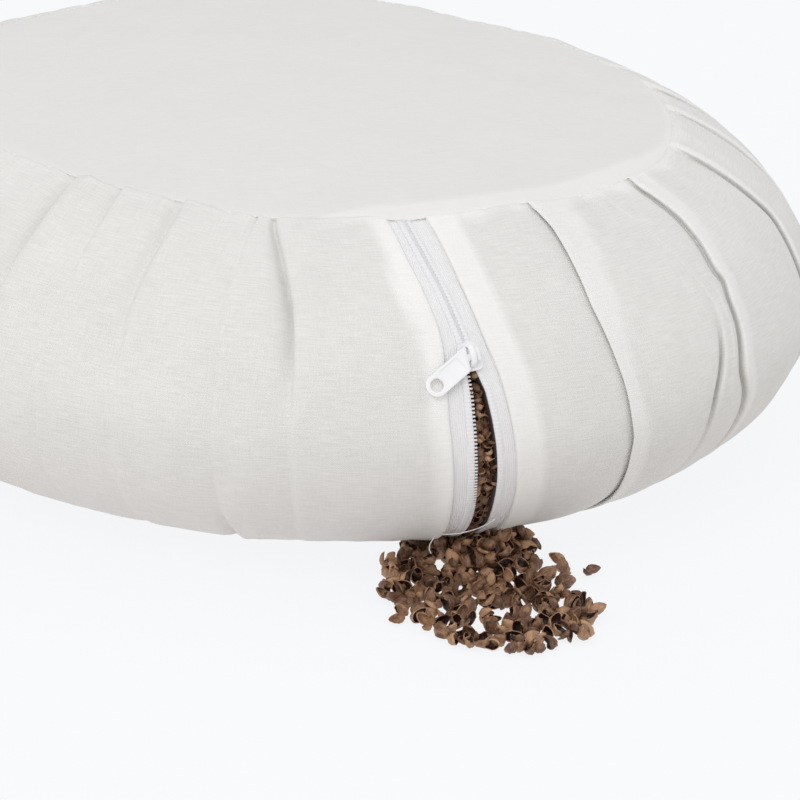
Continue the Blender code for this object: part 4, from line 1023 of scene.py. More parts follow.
def filled_out(rows, azimuth):
    """How the stuffed cover swells between its seams: a cloth simulation of the plain body."""
    rest, moved, radius = simulated(frame["nodes"]["cushion_body"])
    fine = np.linspace(0, BOTTOM_SEAM, 60)
    fine_radius, fine_height = side_place(fine)
    apart = np.hypot(radius[:, None] - fine_radius, rest[:, 2][:, None] - fine_height)
    share = fine[apart.argmin(axis=1)]
    turn = np.degrees(np.arctan2(rest[:, 0], -rest[:, 1])) % 360.0
    away, up = side_out(share)
    lift = (moved * around(turn, away, up)).sum(axis=1)
    field, weight = np.zeros((2, SWELL_COLUMNS, SWELL_ROWS))
    column = (turn / 360.0 * SWELL_COLUMNS).astype(int) % SWELL_COLUMNS
    row = np.minimum((share / BOTTOM_SEAM * SWELL_ROWS).astype(int), SWELL_ROWS - 1)
    np.add.at(field, (column, row), np.clip(lift, -0.010, 0.010))
    np.add.at(weight, (column, row), 1.0)
    field = field / np.maximum(weight, 1.0)
    field -= field.mean(axis=0)
    for _ in range(2):
        field = (np.roll(field, 1, 0) + 2 * field + np.roll(field, -1, 0)) / 4
    field *= np.sin(np.pi * (np.arange(SWELL_ROWS) + 0.5) / SWELL_ROWS)
    place = (azimuth % 360.0) / 360.0 * SWELL_COLUMNS - 0.5
    first = np.floor(place).astype(int)
    part = place - first
    at = np.clip(rows / BOTTOM_SEAM * SWELL_ROWS - 0.5, 0, SWELL_ROWS - 1)
    at = np.broadcast_to(at, azimuth.shape)
    low = np.minimum(at.astype(int), SWELL_ROWS - 2)
    over = at - low

    def row_at(shift):
        before, after = (field[(first + step) % SWELL_COLUMNS, low + shift] for step in (0, 1))
        return before * (1 - part) + after * part

    return np.clip(row_at(0) * (1 - over) + row_at(1) * over, -SWELL_MOST, SWELL_MOST)


def close_end(verts, faces, edge, rings, middle, upward):
    """Closes one end of the cover, from its edge's first point, with rings and a middle point."""
    for ring in rings:
        start, lines = len(verts), len(ring)
        verts += list(ring)
        for n in range(lines):
            a, b = edge + n, edge + (n + 1) % lines
            c, d = start + n, start + (n + 1) % lines
            faces.append((b, a, c, d) if upward else (a, b, d, c))
        edge = start
    verts.append(middle)
    for n in range(lines):
        a, b = edge + n, edge + (n + 1) % lines
        faces.append((b, a, len(verts) - 1) if upward else (a, b, len(verts) - 1))


def build_cover(sizes):
    """The filled cover: the pleated side over its bulge, closed under both panels."""
    rows = np.linspace(0.0, 1.0, COVER_ROWS) ** 1.12 * BOTTOM_SEAM
    folds, azimuth, lift, cuts = cover_lines(rows)
    share = np.broadcast_to(rows, azimuth.shape)
    lift = lift + wrinkle_lift(azimuth, share)
    held = np.clip(share / 0.03, 0, 1) * np.clip((BOTTOM_SEAM - share) / 0.05, 0, 1)
    zip_left, zip_right = zip_place("fold_left", rows), zip_place("fold_right", rows)
    beside_zip = np.maximum(zip_left - azimuth, azimuth - zip_right)
    off_zip = np.clip(beside_zip / 5.0 - 0.1, 0, 1)
    lift = lift + crumple_lift(azimuth, rows) * np.maximum(held, 0.35) * off_zip
    lift = lift + filled_out(rows, azimuth) * held * off_zip
    lines, count = azimuth.shape
    side = on_side(azimuth, share, lift)
    verts = list(side.transpose(1, 0, 2).reshape(-1, 3))
    faces = grid_faces(count, lines, closed=True)
    bed = SEAM_HEIGHT - BED
    wave = seam_wave(azimuth[:, 0])
    rings = [
        around(azimuth[:, 0], SEAM_RADIUS - 2.6 * MM, bed - 0.3 * MM + wave),
        around(azimuth[:, 0], SEAM_RADIUS * 0.6, bed + CROWN * 0.5 + wave),
    ]
    close_end(verts, faces, 0, rings, (0.0, 0.0, bed + CROWN), True)
    foot_radius, foot_height = side_place(BOTTOM_SEAM)
    rings = [
        around(azimuth[:, -1], foot_radius - 4.0 * MM, foot_height + BED * 0.6),
        around(azimuth[:, -1], FLOOR_RADIUS, BED),
    ]
    close_end(verts, faces, (count - 1) * lines, rings, (0.0, 0.0, BED), False)
    finish = cotton("natural_cotton_cover", sizes, 1.05, "cloth")
    cover = mesh_object("pleated_cover", verts, faces, finish)
    hair = 0.01
    opened = azimuth > zip_place("chain_left", rows) - hair
    opened &= azimuth < zip_place("chain_right", rows) + hair
    # Where the channel behind the open coils lies deep, its cloth is painted near black as shade.
    pocket = opened & (lift < -CHANNEL_DEPTH * 0.5) & (rows > OPENING_START - 0.01)
    for name, values in (("layers", layer_values(folds, azimuth, rows)), ("pocket", pocket)):
        values = values.T.ravel().astype(float)
        put_values(cover, name, np.pad(values, (0, len(verts) - len(values))))
    put_map(cover, cover_map(cover, side, rows, cuts))
    return cover


def cover_map(cover, side, rows, cuts):
    """Where each corner of the cover's faces lies on its cloth, in metres, run by run."""
    lines, count = side.shape[:2]
    steps = np.linalg.norm(np.roll(side, -1, axis=0) - side, axis=2)
    along = np.concatenate([np.zeros((1, count)), np.cumsum(steps, axis=0)])
    runs = np.searchsorted(cuts, np.arange(lines), side="right") % len(cuts)
    starts = [cuts[-1], *cuts[:-1]]
    ends = [cuts[0] + lines, *cuts[1:]]
    middles = [((start + end) // 2) % lines for start, end in zip(starts, ends)]
    places = []
    for polygon in cover.data.polygons:
        corners = list(polygon.vertices)
        if max(corners) >= lines * count:
            places += [cover.data.vertices[index].co.xy for index in corners]
            continue
        columns = [index % lines for index in corners]
        wraps = max(columns) - min(columns) > 1
        run = runs[max(columns) if wraps else min(columns)]
        for index, column in zip(corners, columns):
            row = index // lines
            whole, offset = along[lines, row], along[middles[run], row]
            place = whole if wraps and column == 0 else along[column, row]
            if place - offset > whole / 2:
                place -= whole
            if offset - place > whole / 2:
                place += whole
            places.append((place - offset + run * RUN_SHIFT, -rows[row] * SIDE_LENGTH))
    return places


# --- The panels and the stitches ---------------------------------------------------------


def build_panel(name, radii, height, finish, wavy, outward=1):
    """A round panel: rings of points, waved with its seam, then given its thickness."""
    turns = np.arange(PANEL_STEPS) * 360.0 / PANEL_STEPS
    verts = []
    for radius in radii:
        wave = seam_wave(turns) * (radius / SEAM_RADIUS) ** 6 if wavy else 0.0
        verts += list(around(turns, radius, height(radius, turns) + wave))
    last, centre = len(verts) - PANEL_STEPS, len(verts)
    verts.append((0.0, 0.0, float(height(0.0, turns)[0])))
    faces = grid_faces(len(radii), PANEL_STEPS, closed=True)
    faces += [(last + n, last + (n + 1) % PANEL_STEPS, centre) for n in range(PANEL_STEPS)]
    faces = [face[::outward] for face in faces]
    panel = mesh_object(name, verts, faces, finish)
    put_values(panel, "layers", [rim_layers(*vert[:2]) if wavy else 0.0 for vert in verts])
    modify(panel, "SOLIDIFY", thickness=CLOTH, offset=-1.0)
    return panel


def rim_layers(x, y):
    """How far the seam's turned-in cloth shows inside the top panel's rim, from 0 to 1."""
    azimuth = math.degrees(math.atan2(x, -y))
    from_rim = SEAM_RADIUS - math.hypot(x, y)
    wide = float(np.interp(azimuth, *zip(*RIM_WIDTHS))) * MM
    return min(1.0, max(0.0, (wide - from_rim) / LAYER_EDGE)) * RIM_TONE


def top_height(radius, turns):
    """The top panel's height, crowned over the filling and rolled down into its seam."""
    even = SEAM_HEIGHT + CROWN * (1 - (radius / SEAM_RADIUS) ** 2)
    rolled = max(0.0, (radius - SEAM_RADIUS + 3.5 * MM) / (3.5 * MM))

    def noisy(t, scale, seed):
        return noise.noise(Vector((radius * math.sin(t) * scale, radius * math.cos(t) * scale, seed)))

    turned = np.radians(turns)
    soft = [0.7 * MM * noisy(t, 16, 7.0) + 0.25 * MM * noisy(t, 55, 2.0) for t in turned]
    fade = max(0.0, min(1.0, (SEAM_RADIUS - radius) / 0.02))
    return even - 0.9 * MM * rolled**2 + np.array(soft) * fade


def under_height(radius, turns):
    """The underside's height: flat in the middle, curling up to its seam."""
    foot_radius, foot_height = side_place(BOTTOM_SEAM)
    rise = max(0.0, (radius - FLOOR_RADIUS) / (float(foot_radius) - FLOOR_RADIUS))
    return np.full(len(turns), float(foot_height) * rise)


def by_place(verts, first=0):
    """Points in order, those from an index on by place: a cut adds its own in a varying order."""
    return sorted(verts, key=lambda vert: (
        [vert.index] if vert.index < first else [first, *(round(value, 6) for value in vert.co)]))


def shape_of(obj):
    """A modelled piece's points, faces, map and face sides, in a settled order; the piece goes."""
    mesh = obj.data
    order = by_place(mesh.vertices)
    ranks = {vert.index: rank for rank, vert in enumerate(order)}
    map_places = mesh.uv_layers.active.data
    shaped = []
    for face in mesh.polygons:
        corners = [(ranks[vert], tuple(map_places[corner].uv))
                   for vert, corner in zip(face.vertices, face.loop_indices)]
        first = corners.index(min(corners))
        shaped.append((corners[first:] + corners[:first], face.material_index))
    shaped.sort()
    points = [vert.co.copy() for vert in order]
    faces = [tuple(rank for rank, _ in corners) for corners, _ in shaped]
    places = [place for corners, _ in shaped for _, place in corners]
    bpy.data.objects.remove(obj, do_unlink=True)
    return points, faces, places, [side for _, side in shaped]


def copies(name, shape, placings, finish, slot, *nodes):
    """One mesh of a shape's copies, each with its own placing."""
    points, shape_faces, map_places, _ = shape
    verts, faces = [], []
    for placing in placings:
        start = len(verts)
        verts += [placing @ point for point in points]
        faces += [tuple(index + start for index in face) for face in shape_faces]
    obj = mesh_object(name, verts, faces, finish)
    put_map(obj, map_places * len(placings))
    settle(obj, *nodes)


def placing_at(place, along, out):
    """A placing with +Y along a direction and +Z out of the cloth."""
    along = Vector(along).normalized()
    right = along.cross(Vector(out)).normalized()
    return axes_at(Vector(place), right, along, right.cross(along))


def model_stitch(length, thick):
    """One stitch: a short thread that dips into the cloth at its ends."""
    turn = (math.pi / 2, 0.0, 0.0)
    stitch = primitive("cylinder", vertices=6, radius=thick / 2, depth=length * 0.7, rotation=turn)
    for end in (-1, 1):
        with editing(stitch, faces=lambda normal: normal.y * end > 0.9):
            step = (0.0, end * length * 0.15, -thick * 0.4)
            bpy.ops.mesh.extrude_region_move(TRANSFORM_OT_translate={"value": step})
            bpy.ops.transform.resize(value=(0.5, 1.0, 0.5))
    return shape_of(stitch)

# --- The zip -----------------------------------------------------------------------------


def strip_object(name, rows, azimuths, lifts, finish, closed):
    """A strip down the side, from azimuths and lifts for each of its columns."""
    columns = len(azimuths)
    side = np.array([on_side(azimuth, rows, lift) for azimuth, lift in zip(azimuths, lifts)])
    verts = list(side.transpose(1, 0, 2).reshape(-1, 3))
    faces = grid_faces(len(rows), columns, closed=closed)
    if closed:
        last = (len(rows) - 1) * columns
        faces += [tuple(range(columns)), tuple(range(last + columns - 1, last - 1, -1))]
    obj = mesh_object(name, verts, faces, finish)
    if closed:
        turn_outwards(obj)
    steps = np.linalg.norm(np.diff(side, axis=0), axis=2)
    across = np.concatenate([np.zeros((1, len(rows))), np.cumsum(steps, axis=0)])
    places = []
    for polygon in obj.data.polygons:
        for index in polygon.vertices:
            row, column = divmod(index, columns)
            places.append((across[column, row], -rows[row] * SIDE_LENGTH))
    put_map(obj, places)
    return obj


def turn_outwards(obj):
    """Turns every face of closed shells outwards."""
    bm = bmesh.new()
    bm.from_mesh(obj.data)
    bmesh.ops.recalc_face_normals(bm, faces=bm.faces)
    bm.to_mesh(obj.data)
    bm.free()


def build_tapes(sizes):
    """The two tapes, each from under its fold of cloth to its coil."""
    finish = tape_cloth(sizes)
    for name, side in ZIP_SIDES:
        outer = zip_place(f"fold_{name}", ZIP_SHARES) + side * degrees_across(TUCK - 0.2 * MM, ZIP_SHARES)
        inner = zip_place(f"chain_{name}", ZIP_SHARES) + side * degrees_across(0.35 * MM, ZIP_SHARES)
        azimuths, lifts = [], []
        for number in range(TAPE_STEPS + 1):
            across = number / TAPE_STEPS
            azimuths.append(outer + (inner - outer) * across)
            swell = 0.25 * MM * math.sin(math.pi * across)
            lifts.append(np.full(ZIP_ROWS, -1.30 * MM + 0.60 * MM * across + swell))
        if side > 0:
            azimuths, lifts = azimuths[::-1], lifts[::-1]
        tape = strip_object(
            f"zip_tape_{name}_cloth", ZIP_SHARES, azimuths, lifts, finish, False)
        modify(tape, "SOLIDIFY", thickness=0.5 * MM, offset=-1.0)
        settle(tape, f"zip_tape_{name}")


def build_coils(sizes):
    """The two coils: a rounded band of windings with the tips of its teeth along the inner edge."""
    finish = coil_plastic(sizes)
    tooth = model_tooth()
    for name, side in ZIP_SIDES:
        chain = zip_place(f"chain_{name}", ZIP_SHARES)
        inset_open, tip_lift, tucked_open = COIL_OPEN[name]
        inset = np.interp(ZIP_SHARES, (0.29, 0.34), (0.04 * MM, inset_open))
        azimuths, lifts = [], []
        for number in range(COIL_SIDES):
            turn = math.tau * number / COIL_SIDES
            across = (1 - math.cos(turn)) / 2
            high = math.sin(turn)
            rise = 0.62 * MM if high > 0 else 0.55 * MM
            azimuths.append(chain + side * degrees_across(inset + sizes.band_width * across, ZIP_SHARES))
            bulge = rise * high * abs(high) ** -0.25 if high else 0.0
            lifts.append(np.full(ZIP_ROWS, COIL_LIFT + bulge))
        band = strip_object(
            f"zip_coil_{name}_band", ZIP_SHARES, azimuths, lifts, finish, True)
        settle(band, f"zip_coil_{name}")
        count = int((ZIP_END - ZIP_START) * SIDE_LENGTH / sizes.tooth_pitch)
        placings = []
        for number in range(count):
            share = ZIP_START + (ZIP_END - ZIP_START) * (number + (0.5 if side > 0 else 0.0)) / count
            tucked = float(np.interp(share, (0.29, 0.34), (0.0, tucked_open))) * MM
            raised = float(np.interp(share, (0.27, 0.31), (0.20 * MM, tip_lift)))
            placings.append(tooth_placing(share, f"chain_{name}", side, raised, tucked))
        copies(f"zip_coil_{name}_teeth", tooth, placings, finish, "nylon_coil", f"zip_coil_{name}")


def model_tooth():
    """One tooth: the bend of a winding, a rounded block with a thicker tip."""
    tooth = block((-0.36 * MM, -0.33 * MM, -0.30 * MM), (0.75 * MM, 0.33 * MM, 0.30 * MM))
    with editing(tooth, faces=lambda normal: normal.x < -0.9):
        bpy.ops.mesh.extrude_region_move(TRANSFORM_OT_translate={"value": (-0.16 * MM, 0.0, 0.0)})
        bpy.ops.transform.resize(value=(1.0, 0.62, 0.62))
    round_edges(tooth, lambda a, b: abs(a.x - b.x) > 0.5 * MM, 0.14 * MM, 1)
    return shape_of(tooth)


def tooth_placing(share, chain, side, lift, tucked):
    """Where one tooth stands: its tip towards the middle of the chain, its root in the band."""
    middle = float(zip_place(chain, share) + side * degrees_across(tucked, share))
    place = Vector(on_side(middle, share, lift))
    away = (Vector(on_side(middle + side, share, lift)) - place).normalized()
    up_zip = Vector(on_side(middle, share - 0.01, lift)) - Vector(on_side(middle, share + 0.01, lift))
    along = (up_zip - up_zip.dot(away) * away).normalized()
    return axes_at(place, away, along, away.cross(along))


def build_stitching(finish):
    """The rows of stitches that hold the coils to the tapes, and those of the panels' seams."""
    short, long = model_stitch(1.15 * MM, 0.28 * MM), model_stitch(1.6 * MM, 0.34 * MM)
    for name, side in ZIP_SIDES:
        shares = np.arange(ZIP_START + 0.006, ZIP_END - 0.004, ZIP_STITCH / SIDE_LENGTH)
        azimuths = zip_place(f"chain_{name}", shares) + side * degrees_across(3.55 * MM, shares)
        lift = np.full(len(shares), -0.62 * MM)
        places = on_side(azimuths, shares, lift)
        ahead = on_side(azimuths, shares + 0.004, lift) - places
        out = on_side(azimuths, shares, lift + MM) - places
        placings = [placing_at(*three) for three in zip(places, ahead, out)]
        copies(f"zip_stitches_{name}", short, placings, finish, "sewing_thread")
    for name, share, drop in (("top", 0.0, -0.35 * MM), ("bottom", BOTTOM_SEAM, 0.1 * MM)):
        radius, height = (float(value) for value in side_place(share))
        count = int(math.tau * radius / SEAM_STITCH)
        turns = np.arange(count) * 360.0 / count
        level = height + drop + (seam_wave(turns) if share == 0.0 else 0.0)
        places = around(turns, radius - 0.25 * MM, level)
        ahead = around(turns + 0.5, radius - 0.25 * MM, level) - places
        placings = [placing_at(place, forward, (0.0, 0.0, 1.0)) for place, forward in zip(places, ahead)]
        copies(f"{name}_seam_stitches", long, placings, finish, "sewing_thread")


# --- The slider and its pull -------------------------------------------------------------


def slider_frame():
    """The slider's own frame: +X to the right, +Y up the zip, +Z out of the cloth."""

    def middle(share):
        return Vector(on_side(np.interp(share, (0.29, 0.33), (0.0, 0.3)), share, 0.0))

    origin = middle(SLIDER_SHARE)
    up_zip = (middle(SLIDER_SHARE - 0.01) - middle(SLIDER_SHARE + 0.01)).normalized()
    beside = Vector(on_side(SLIDER_AZIMUTH + 1.0, SLIDER_SHARE, 0.0)) - origin
    out = beside.cross(up_zip).normalized()
    return axes_at(origin, up_zip.cross(out), up_zip, out)


def pull_frame():
    """The pull's frame: from under the bridge, down to the left over the cloth."""
    lift = SLIDER_LIFT + SLIDER_PLATE + PULL_LIFT + PULL_THICK / 2
    turn = Matrix.Rotation(math.radians(PULL_TURN), 4, "Z")
    dip = Matrix.Rotation(math.radians(PULL_DIP), 4, "Y")
    return slider_frame() @ Matrix.Translation((0.0, 0.0, lift)) @ turn @ dip


def block(low, high):
    """A cube primitive stretched between two corners."""
    middle = [(a + b) / 2 for a, b in zip(low, high)]
    return primitive("cube", [b - a for a, b in zip(low, high)], size=1.0, location=middle)


@contextmanager
def editing(obj, edges=None, faces=None):
    """Edit mode with only the edges or faces selected that pass a test."""
    only_select(obj)
    bpy.ops.object.mode_set(mode="EDIT")
    bpy.ops.mesh.select_mode(type="EDGE" if edges else "FACE")
    bpy.ops.mesh.select_all(action="DESELECT")
    bpy.ops.object.mode_set(mode="OBJECT")
    mesh = obj.data
    if edges:
        for edge in mesh.edges:
            edge.select = edges(*(mesh.vertices[index].co for index in edge.vertices))
    else:
        for face in mesh.polygons:
            face.select = faces(face.normal)
    bpy.ops.object.mode_set(mode="EDIT")
    yield
    bpy.ops.object.mode_set(mode="OBJECT")


def round_edges(obj, test, radius, segments):
    """Rounds the edges whose two ends pass a test."""
    with editing(obj, edges=test):
        bpy.ops.mesh.bevel(offset=radius, segments=segments, affect="EDGES")


def upright(place=lambda end: True):
    """A test of upright edges that stand at a chosen place."""
    return lambda a, b: abs(a.z - b.z) > 0.4 * MM and place(a)


def soften(obj, width):
    """Takes the sharpness off a metal piece's edges."""
    sharp = math.radians(32)
    modify(obj, "BEVEL", width=width, segments=2, limit_method="ANGLE", angle_limit=sharp)
    bpy.ops.object.shade_smooth_by_angle(angle=math.radians(42))


def cut_away(obj, cutter):
    """Takes a cutter's shape out of a piece, and the cutter away."""
    modify(obj, "BOOLEAN", operation="DIFFERENCE", solver="MANIFOLD", object=cutter)
    bpy.data.objects.remove(cutter, do_unlink=True)


def join_to(obj, *others):
    only_select(obj, *others)
    bpy.ops.object.join()


def build_slider(finish):
    """The slider: a rounded plate with a raised rim, side flanges and the bridge for the pull."""
    half = SLIDER_LENGTH / 2
    top_half, foot_half = SLIDER_TOP_WIDTH / 2, SLIDER_FOOT_WIDTH / 2
    corner = (foot_half, half, SLIDER_LIFT + SLIDER_PLATE)
    plate = block((-foot_half, -half, SLIDER_LIFT - 0.5 * MM), corner)
    for vert in plate.data.vertices:
        if vert.co.y > 0:
            vert.co.x *= top_half / foot_half
    round_edges(plate, upright(), SLIDER_CORNER, 6)
    with editing(plate, faces=lambda normal: normal.z > 0.9):
        bpy.ops.mesh.inset(thickness=0.75 * MM)
        bpy.ops.transform.translate(value=(0.0, 0.0, -0.38 * MM))
    soften(plate, 0.22 * MM)
    parts = []
    for side in (-1, 1):
        outer = side * (top_half + 0.15 * MM)
        low, high = sorted((outer, outer - side * 0.8 * MM))
        corner = (high, half - 2.2 * MM, SLIDER_LIFT + 0.3 * MM)
        flange = block((low, -half + 2.0 * MM, SLIDER_LIFT - 1.2 * MM), corner)
        for vert in flange.data.vertices:
            vert.co.x += side * (foot_half - top_half) * (half - vert.co.y) / SLIDER_LENGTH
        soften(flange, 0.25 * MM)
        parts.append(flange)
    join_to(plate, *parts, bridge_bar())
    finish_metal(plate, "zip_slider_body", finish, slider_frame(), "zip_slider")


def bridge_bar():
    """The bridge over the slider: a flattened bar bent into an arch along the zip."""
    half, foot = 3.35 * MM, SLIDER_LIFT + 0.4 * MM
    shoulder, crest = foot + 1.8 * MM, foot + 3.55 * MM
    rising = ((-half, foot), (-half, shoulder), (-1.6 * MM, crest))
    route = [(0.0, along, height) for along, height in rising]
    route += [(0.0, -along, height) for along, height in reversed(rising)]
    bridge = tube("bridge", "BEZIER", route, BRIDGE_THICK, 3)
    only_select(bridge)
    bpy.ops.object.convert(target="MESH")
    bridge = bpy.context.active_object
    bridge.data.transform(Matrix.Diagonal((BRIDGE_WIDTH / BRIDGE_THICK, 1.0, 1.0, 1.0)))
    bridge.data.shade_smooth()
    return bridge


def finish_metal(obj, name, finish, place, node):
    """Gives a metal piece its name, its enamel and its place in its mesh."""
    obj.name = name
    obj.data.materials.clear()
    obj.data.materials.append(finish)
    obj.data.transform(place)
    settle(obj, node)


def build_pull(finish):
    """The pull: a flat tab with a raised rim and a round eye, held by a head round the bridge."""
    wide, half = PULL_WIDTH / 2, PULL_THICK / 2
    turn = math.radians(PULL_TURN)
    tab = block((0.0, -wide, -half), (PULL_REACH, wide, half))
    for vert in tab.data.vertices:
        if vert.co.x < MM:
            side = 1 if vert.co.y > 0 else -1
            vert.co.x = (side * wide * math.sin(turn) - PULL_BESIDE) / math.cos(turn)
    round_edges(tab, upright(lambda end: end.x > PULL_REACH - MM), PULL_END_RADIUS, 9)
    round_edges(tab, upright(lambda end: end.x < PULL_REACH / 2), 0.9 * MM, 3)
    eye_place = PULL_REACH - EYE_BORDER - EYE_RADIUS
    place = (eye_place, 0.0, 0.0)
    deep = 4 * PULL_THICK
    cut_away(tab, primitive("cylinder", vertices=40, radius=EYE_RADIUS, depth=deep, location=place))
    recess_end = eye_place - EYE_RADIUS - 1.0 * MM
    for sign in (1, -1):
        low, high = sorted((sign * (half - PULL_RECESS), sign * 2 * PULL_THICK))
        recess = block((PULL_RECESS_START, -wide + PULL_RIM, low), (recess_end, wide - PULL_RIM, high))
        round_edges(recess, upright(), 0.7 * MM, 4)
        cut_away(tab, recess)
    soften(tab, 0.13 * MM)
    neck = block((-2.6 * MM, -1.1 * MM, -0.5 * MM), (2.8 * MM, 1.1 * MM, 0.5 * MM))
    soften(neck, 0.3 * MM)
    head = block((PULL_BESIDE, -2.3 * MM, -half), (PULL_BESIDE + 1.3 * MM, 2.3 * MM, half))
    head.data.transform(Matrix.Rotation(-turn, 4, "Z"))
    soften(head, 0.3 * MM)
    join_to(tab, neck, head)
    finish_metal(tab, "zip_pull_tab", finish, pull_frame(), "zip_pull")

# --- The hulls ---------------------------------------------------------------------------


def model_lobe(draw, sizes, sides, rings, depth, mouth, pointed):
    """One lobe: a cup cut from a stretched sphere, its tip drawn out as far as it is pointed."""
    turn = (0.0, math.pi / 2, 0.0)
    lobe = primitive("uv_sphere", segments=sides, ring_count=rings, radius=0.5, rotation=turn)
    bpy.ops.object.mode_set(mode="EDIT")
    bpy.ops.mesh.select_all(action="SELECT")
    lean = (draw.uniform(-0.25, 0.25), 0.0, 1.0)
    under = sum(Vector(lean).dot(vert.co) < mouth for vert in lobe.data.vertices)
    bpy.ops.mesh.bisect(plane_co=(0.0, 0.0, mouth), plane_no=lean, clear_outer=True)
    bpy.ops.mesh.select_all(action="SELECT")
    length = sizes.length * draw.uniform(0.92, 1.08)
    wide = sizes.width * draw.uniform(0.9, 1.08)
    bpy.ops.transform.resize(value=(length, wide, depth), center_override=(0.0, 0.0, 0.0))
    bpy.ops.transform.translate(value=(length / 2, 0.0, 0.0))
    bpy.ops.object.mode_set(mode="OBJECT")
    for vert in by_place(lobe.data.vertices, under):
        far = max(0.0, vert.co.x / length - 0.55) / 0.45
        near = max(0.0, 0.3 - vert.co.x / length) / 0.3
        vert.co.x += 0.16 * length * pointed * far**2
        vert.co.y *= 1.0 - (0.30 * far**2 + 0.25 * near**2) * pointed
        vert.co.z += depth * (0.30 * pointed * far**2 + 0.07 * draw.uniform(-1, 1))
    for _ in range(3):
        lobe.data.materials.append(None)
    modify(lobe, "SOLIDIFY", thickness=HULL_WALL, offset=-1.0, material_offset=INNER_SIDE,
           material_offset_rim=RIM_SIDE)
    return lobe


def model_hull(draw, sizes, lobes):
    """One hull: a single cup, or two or three lobes that open from a common foot."""
    single = lobes == 1
    size = draw.uniform(0.95, 1.12) if single else draw.uniform(0.84, 0.98)
    opening = {1: 90.0, 2: draw.uniform(35, 60), 3: draw.uniform(28, 62)}[lobes]
    parts = []
    for number in range(lobes):
        sides, rings = (10, 8) if single else (6, 6)
        deep = draw.uniform(4.6, 6.4) * MM if single else draw.uniform(2.8, 3.6) * MM
        pointed = draw.uniform(0.3, 1.2) if single else 1.0
        lobe = model_lobe(draw, sizes, sides, rings, deep, draw.uniform(0.0, 0.14), pointed)
        open_out = Matrix.Rotation(math.radians(opening - 90.0), 4, "Y")
        turn = Matrix.Rotation(math.tau * number / 3 + draw.uniform(-0.2, 0.2), 4, "Z")
        lift = Matrix.Translation((-0.5 * sizes.length if single else 0.2 * MM, 0.0, 0.0))
        lobe.data.transform(Matrix.Scale(size, 4) @ turn @ open_out @ lift)
        parts.append(lobe)
    join_to(*parts)
    return shape_of(parts[0])


def hull_kinds(sizes):
    """A dozen different hulls, each modelled once and then copied."""
    draw = random.Random(HULL_SEED)
    return [model_hull(draw, sizes, lobes) for lobes in HULL_LOBES]


def hull_pile(name, kinds, places, finish, seed, node, floor=None):
    """Hulls at their places, joined as one mesh, each turned its own way."""
    draw = random.Random(seed)
    verts, faces, skins, tones, corners = [], [], [], [], []
    for place, size in places:
        points, shape_faces, map_places, sides = kinds[draw.randrange(len(kinds))]
        turn = Matrix.Rotation(draw.uniform(0, math.tau), 3, "Z")
        for axis in "XY":
            turn = turn @ Matrix.Rotation(draw.gauss(0, 1.0), 3, axis)
        turn = turn @ Matrix.Rotation(draw.uniform(0, math.tau), 3, "Z")
        moved = [turn @ (point * size) + Vector(place) for point in points]
        lowest = min(point.z for point in moved)
        if floor is not None and lowest < floor:
            moved = [point + Vector((0.0, 0.0, floor - lowest)) for point in moved]
        start = len(verts)
        verts += moved
        faces += [tuple(index + start for index in face) for face in shape_faces]
        skins += sides
        tones += [draw.random()] * len(shape_faces)
        shift = (draw.uniform(0, 9), draw.uniform(0, 9))
        corners += [(x + shift[0], y + shift[1]) for x, y in map_places]
    pile = mesh_object(name, verts, faces, finish)
    put_values(pile, "hollow", [side == INNER_SIDE for side in skins], "FACE")
    put_values(pile, "rim", [side == RIM_SIDE for side in skins], "FACE")
    put_values(pile, "tone", tones, "FACE")
    put_map(pile, corners)
    settle(pile, node)


def is_bare(x, y):
    """Whether a place of the floor is one of the heap's bare places."""
    for bare in BARE_PLACES:
        middle = around(bare.azimuth, bare.reach, 0.0)
        if math.hypot(x - middle[0], y - middle[1]) < bare.radius + BARE_EDGE:
            return True
    return False


def heap_places(sizes):
    """Where the heap's hulls lie, on the surface that the part gives the heap."""
    draw = random.Random(HULL_SEED + 2)
    bm = bmesh.new()
    bm.from_mesh(frame["nodes"]["spilled_hulls"].data)
    tree = BVHTree.FromBMesh(bm)
    bm.free()

    def surface(x, y):
        return tree.ray_cast(Vector((x, y, 0.1)), Vector((0, 0, -1)))[0]

    low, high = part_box("spilled_hulls")
    places = []
    for number in range(sizes.tries):
        x, y = draw.uniform(low.x, high.x), draw.uniform(low.y, high.y)
        around_it = [(x + right * HULL_MARGIN, y + ahead * HULL_MARGIN) for right, ahead in FOUR_WAYS]
        hit = surface(x, y)
        if hit is None or is_bare(x, y) or any(surface(*place) is None for place in around_it):
            continue
        layer = number % len(LAYER_DEPTHS)
        sunk = LAYER_DEPTHS[layer] + draw.uniform(0.0, 0.8) * MM
        if layer and hit.z < 6 * MM:
            continue
        point = Vector((x, y, max(1.7 * MM, hit.z - sunk)))
        if any((point - other).length < sizes.spacing for other, _ in places):
            continue
        places.append((point, draw.uniform(0.9, 1.08)))
    return places


def opening_places():
    """Where the filling shows behind the open coils, in two layers."""
    draw = random.Random(HULL_SEED + 4)
    fades = (OPENING_START, 0.36, 0.80, OPENING_END), (-0.4, 0.0, 0.0, -0.8)
    places = []
    for lift, step in ((-3.4 * MM, 2.6 * MM), (-6.2 * MM, 2.9 * MM)):
        share = OPENING_START
        while share < OPENING_END:
            left, right = (float(zip_place(line, share)) for line in ("chain_left", "chain_right"))
            width = math.radians(right - left) * float(side_place(share)[0])
            count = 2 if width > 4.0 * MM else 1
            for number in range(count):
                across = (number + 0.5) / count + draw.uniform(-0.12, 0.12)
                azimuth = left + (right - left) * across
                depth = lift + draw.uniform(-0.5, 0.5) * MM + np.interp(share, *fades) * MM
                room = min(1.0, width / (6.0 * MM) + 0.35)
                places.append((Vector(on_side(azimuth, share, depth)), draw.uniform(0.66, 0.80) * room))
            share += step * draw.uniform(0.85, 1.15) / SIDE_LENGTH
    return places

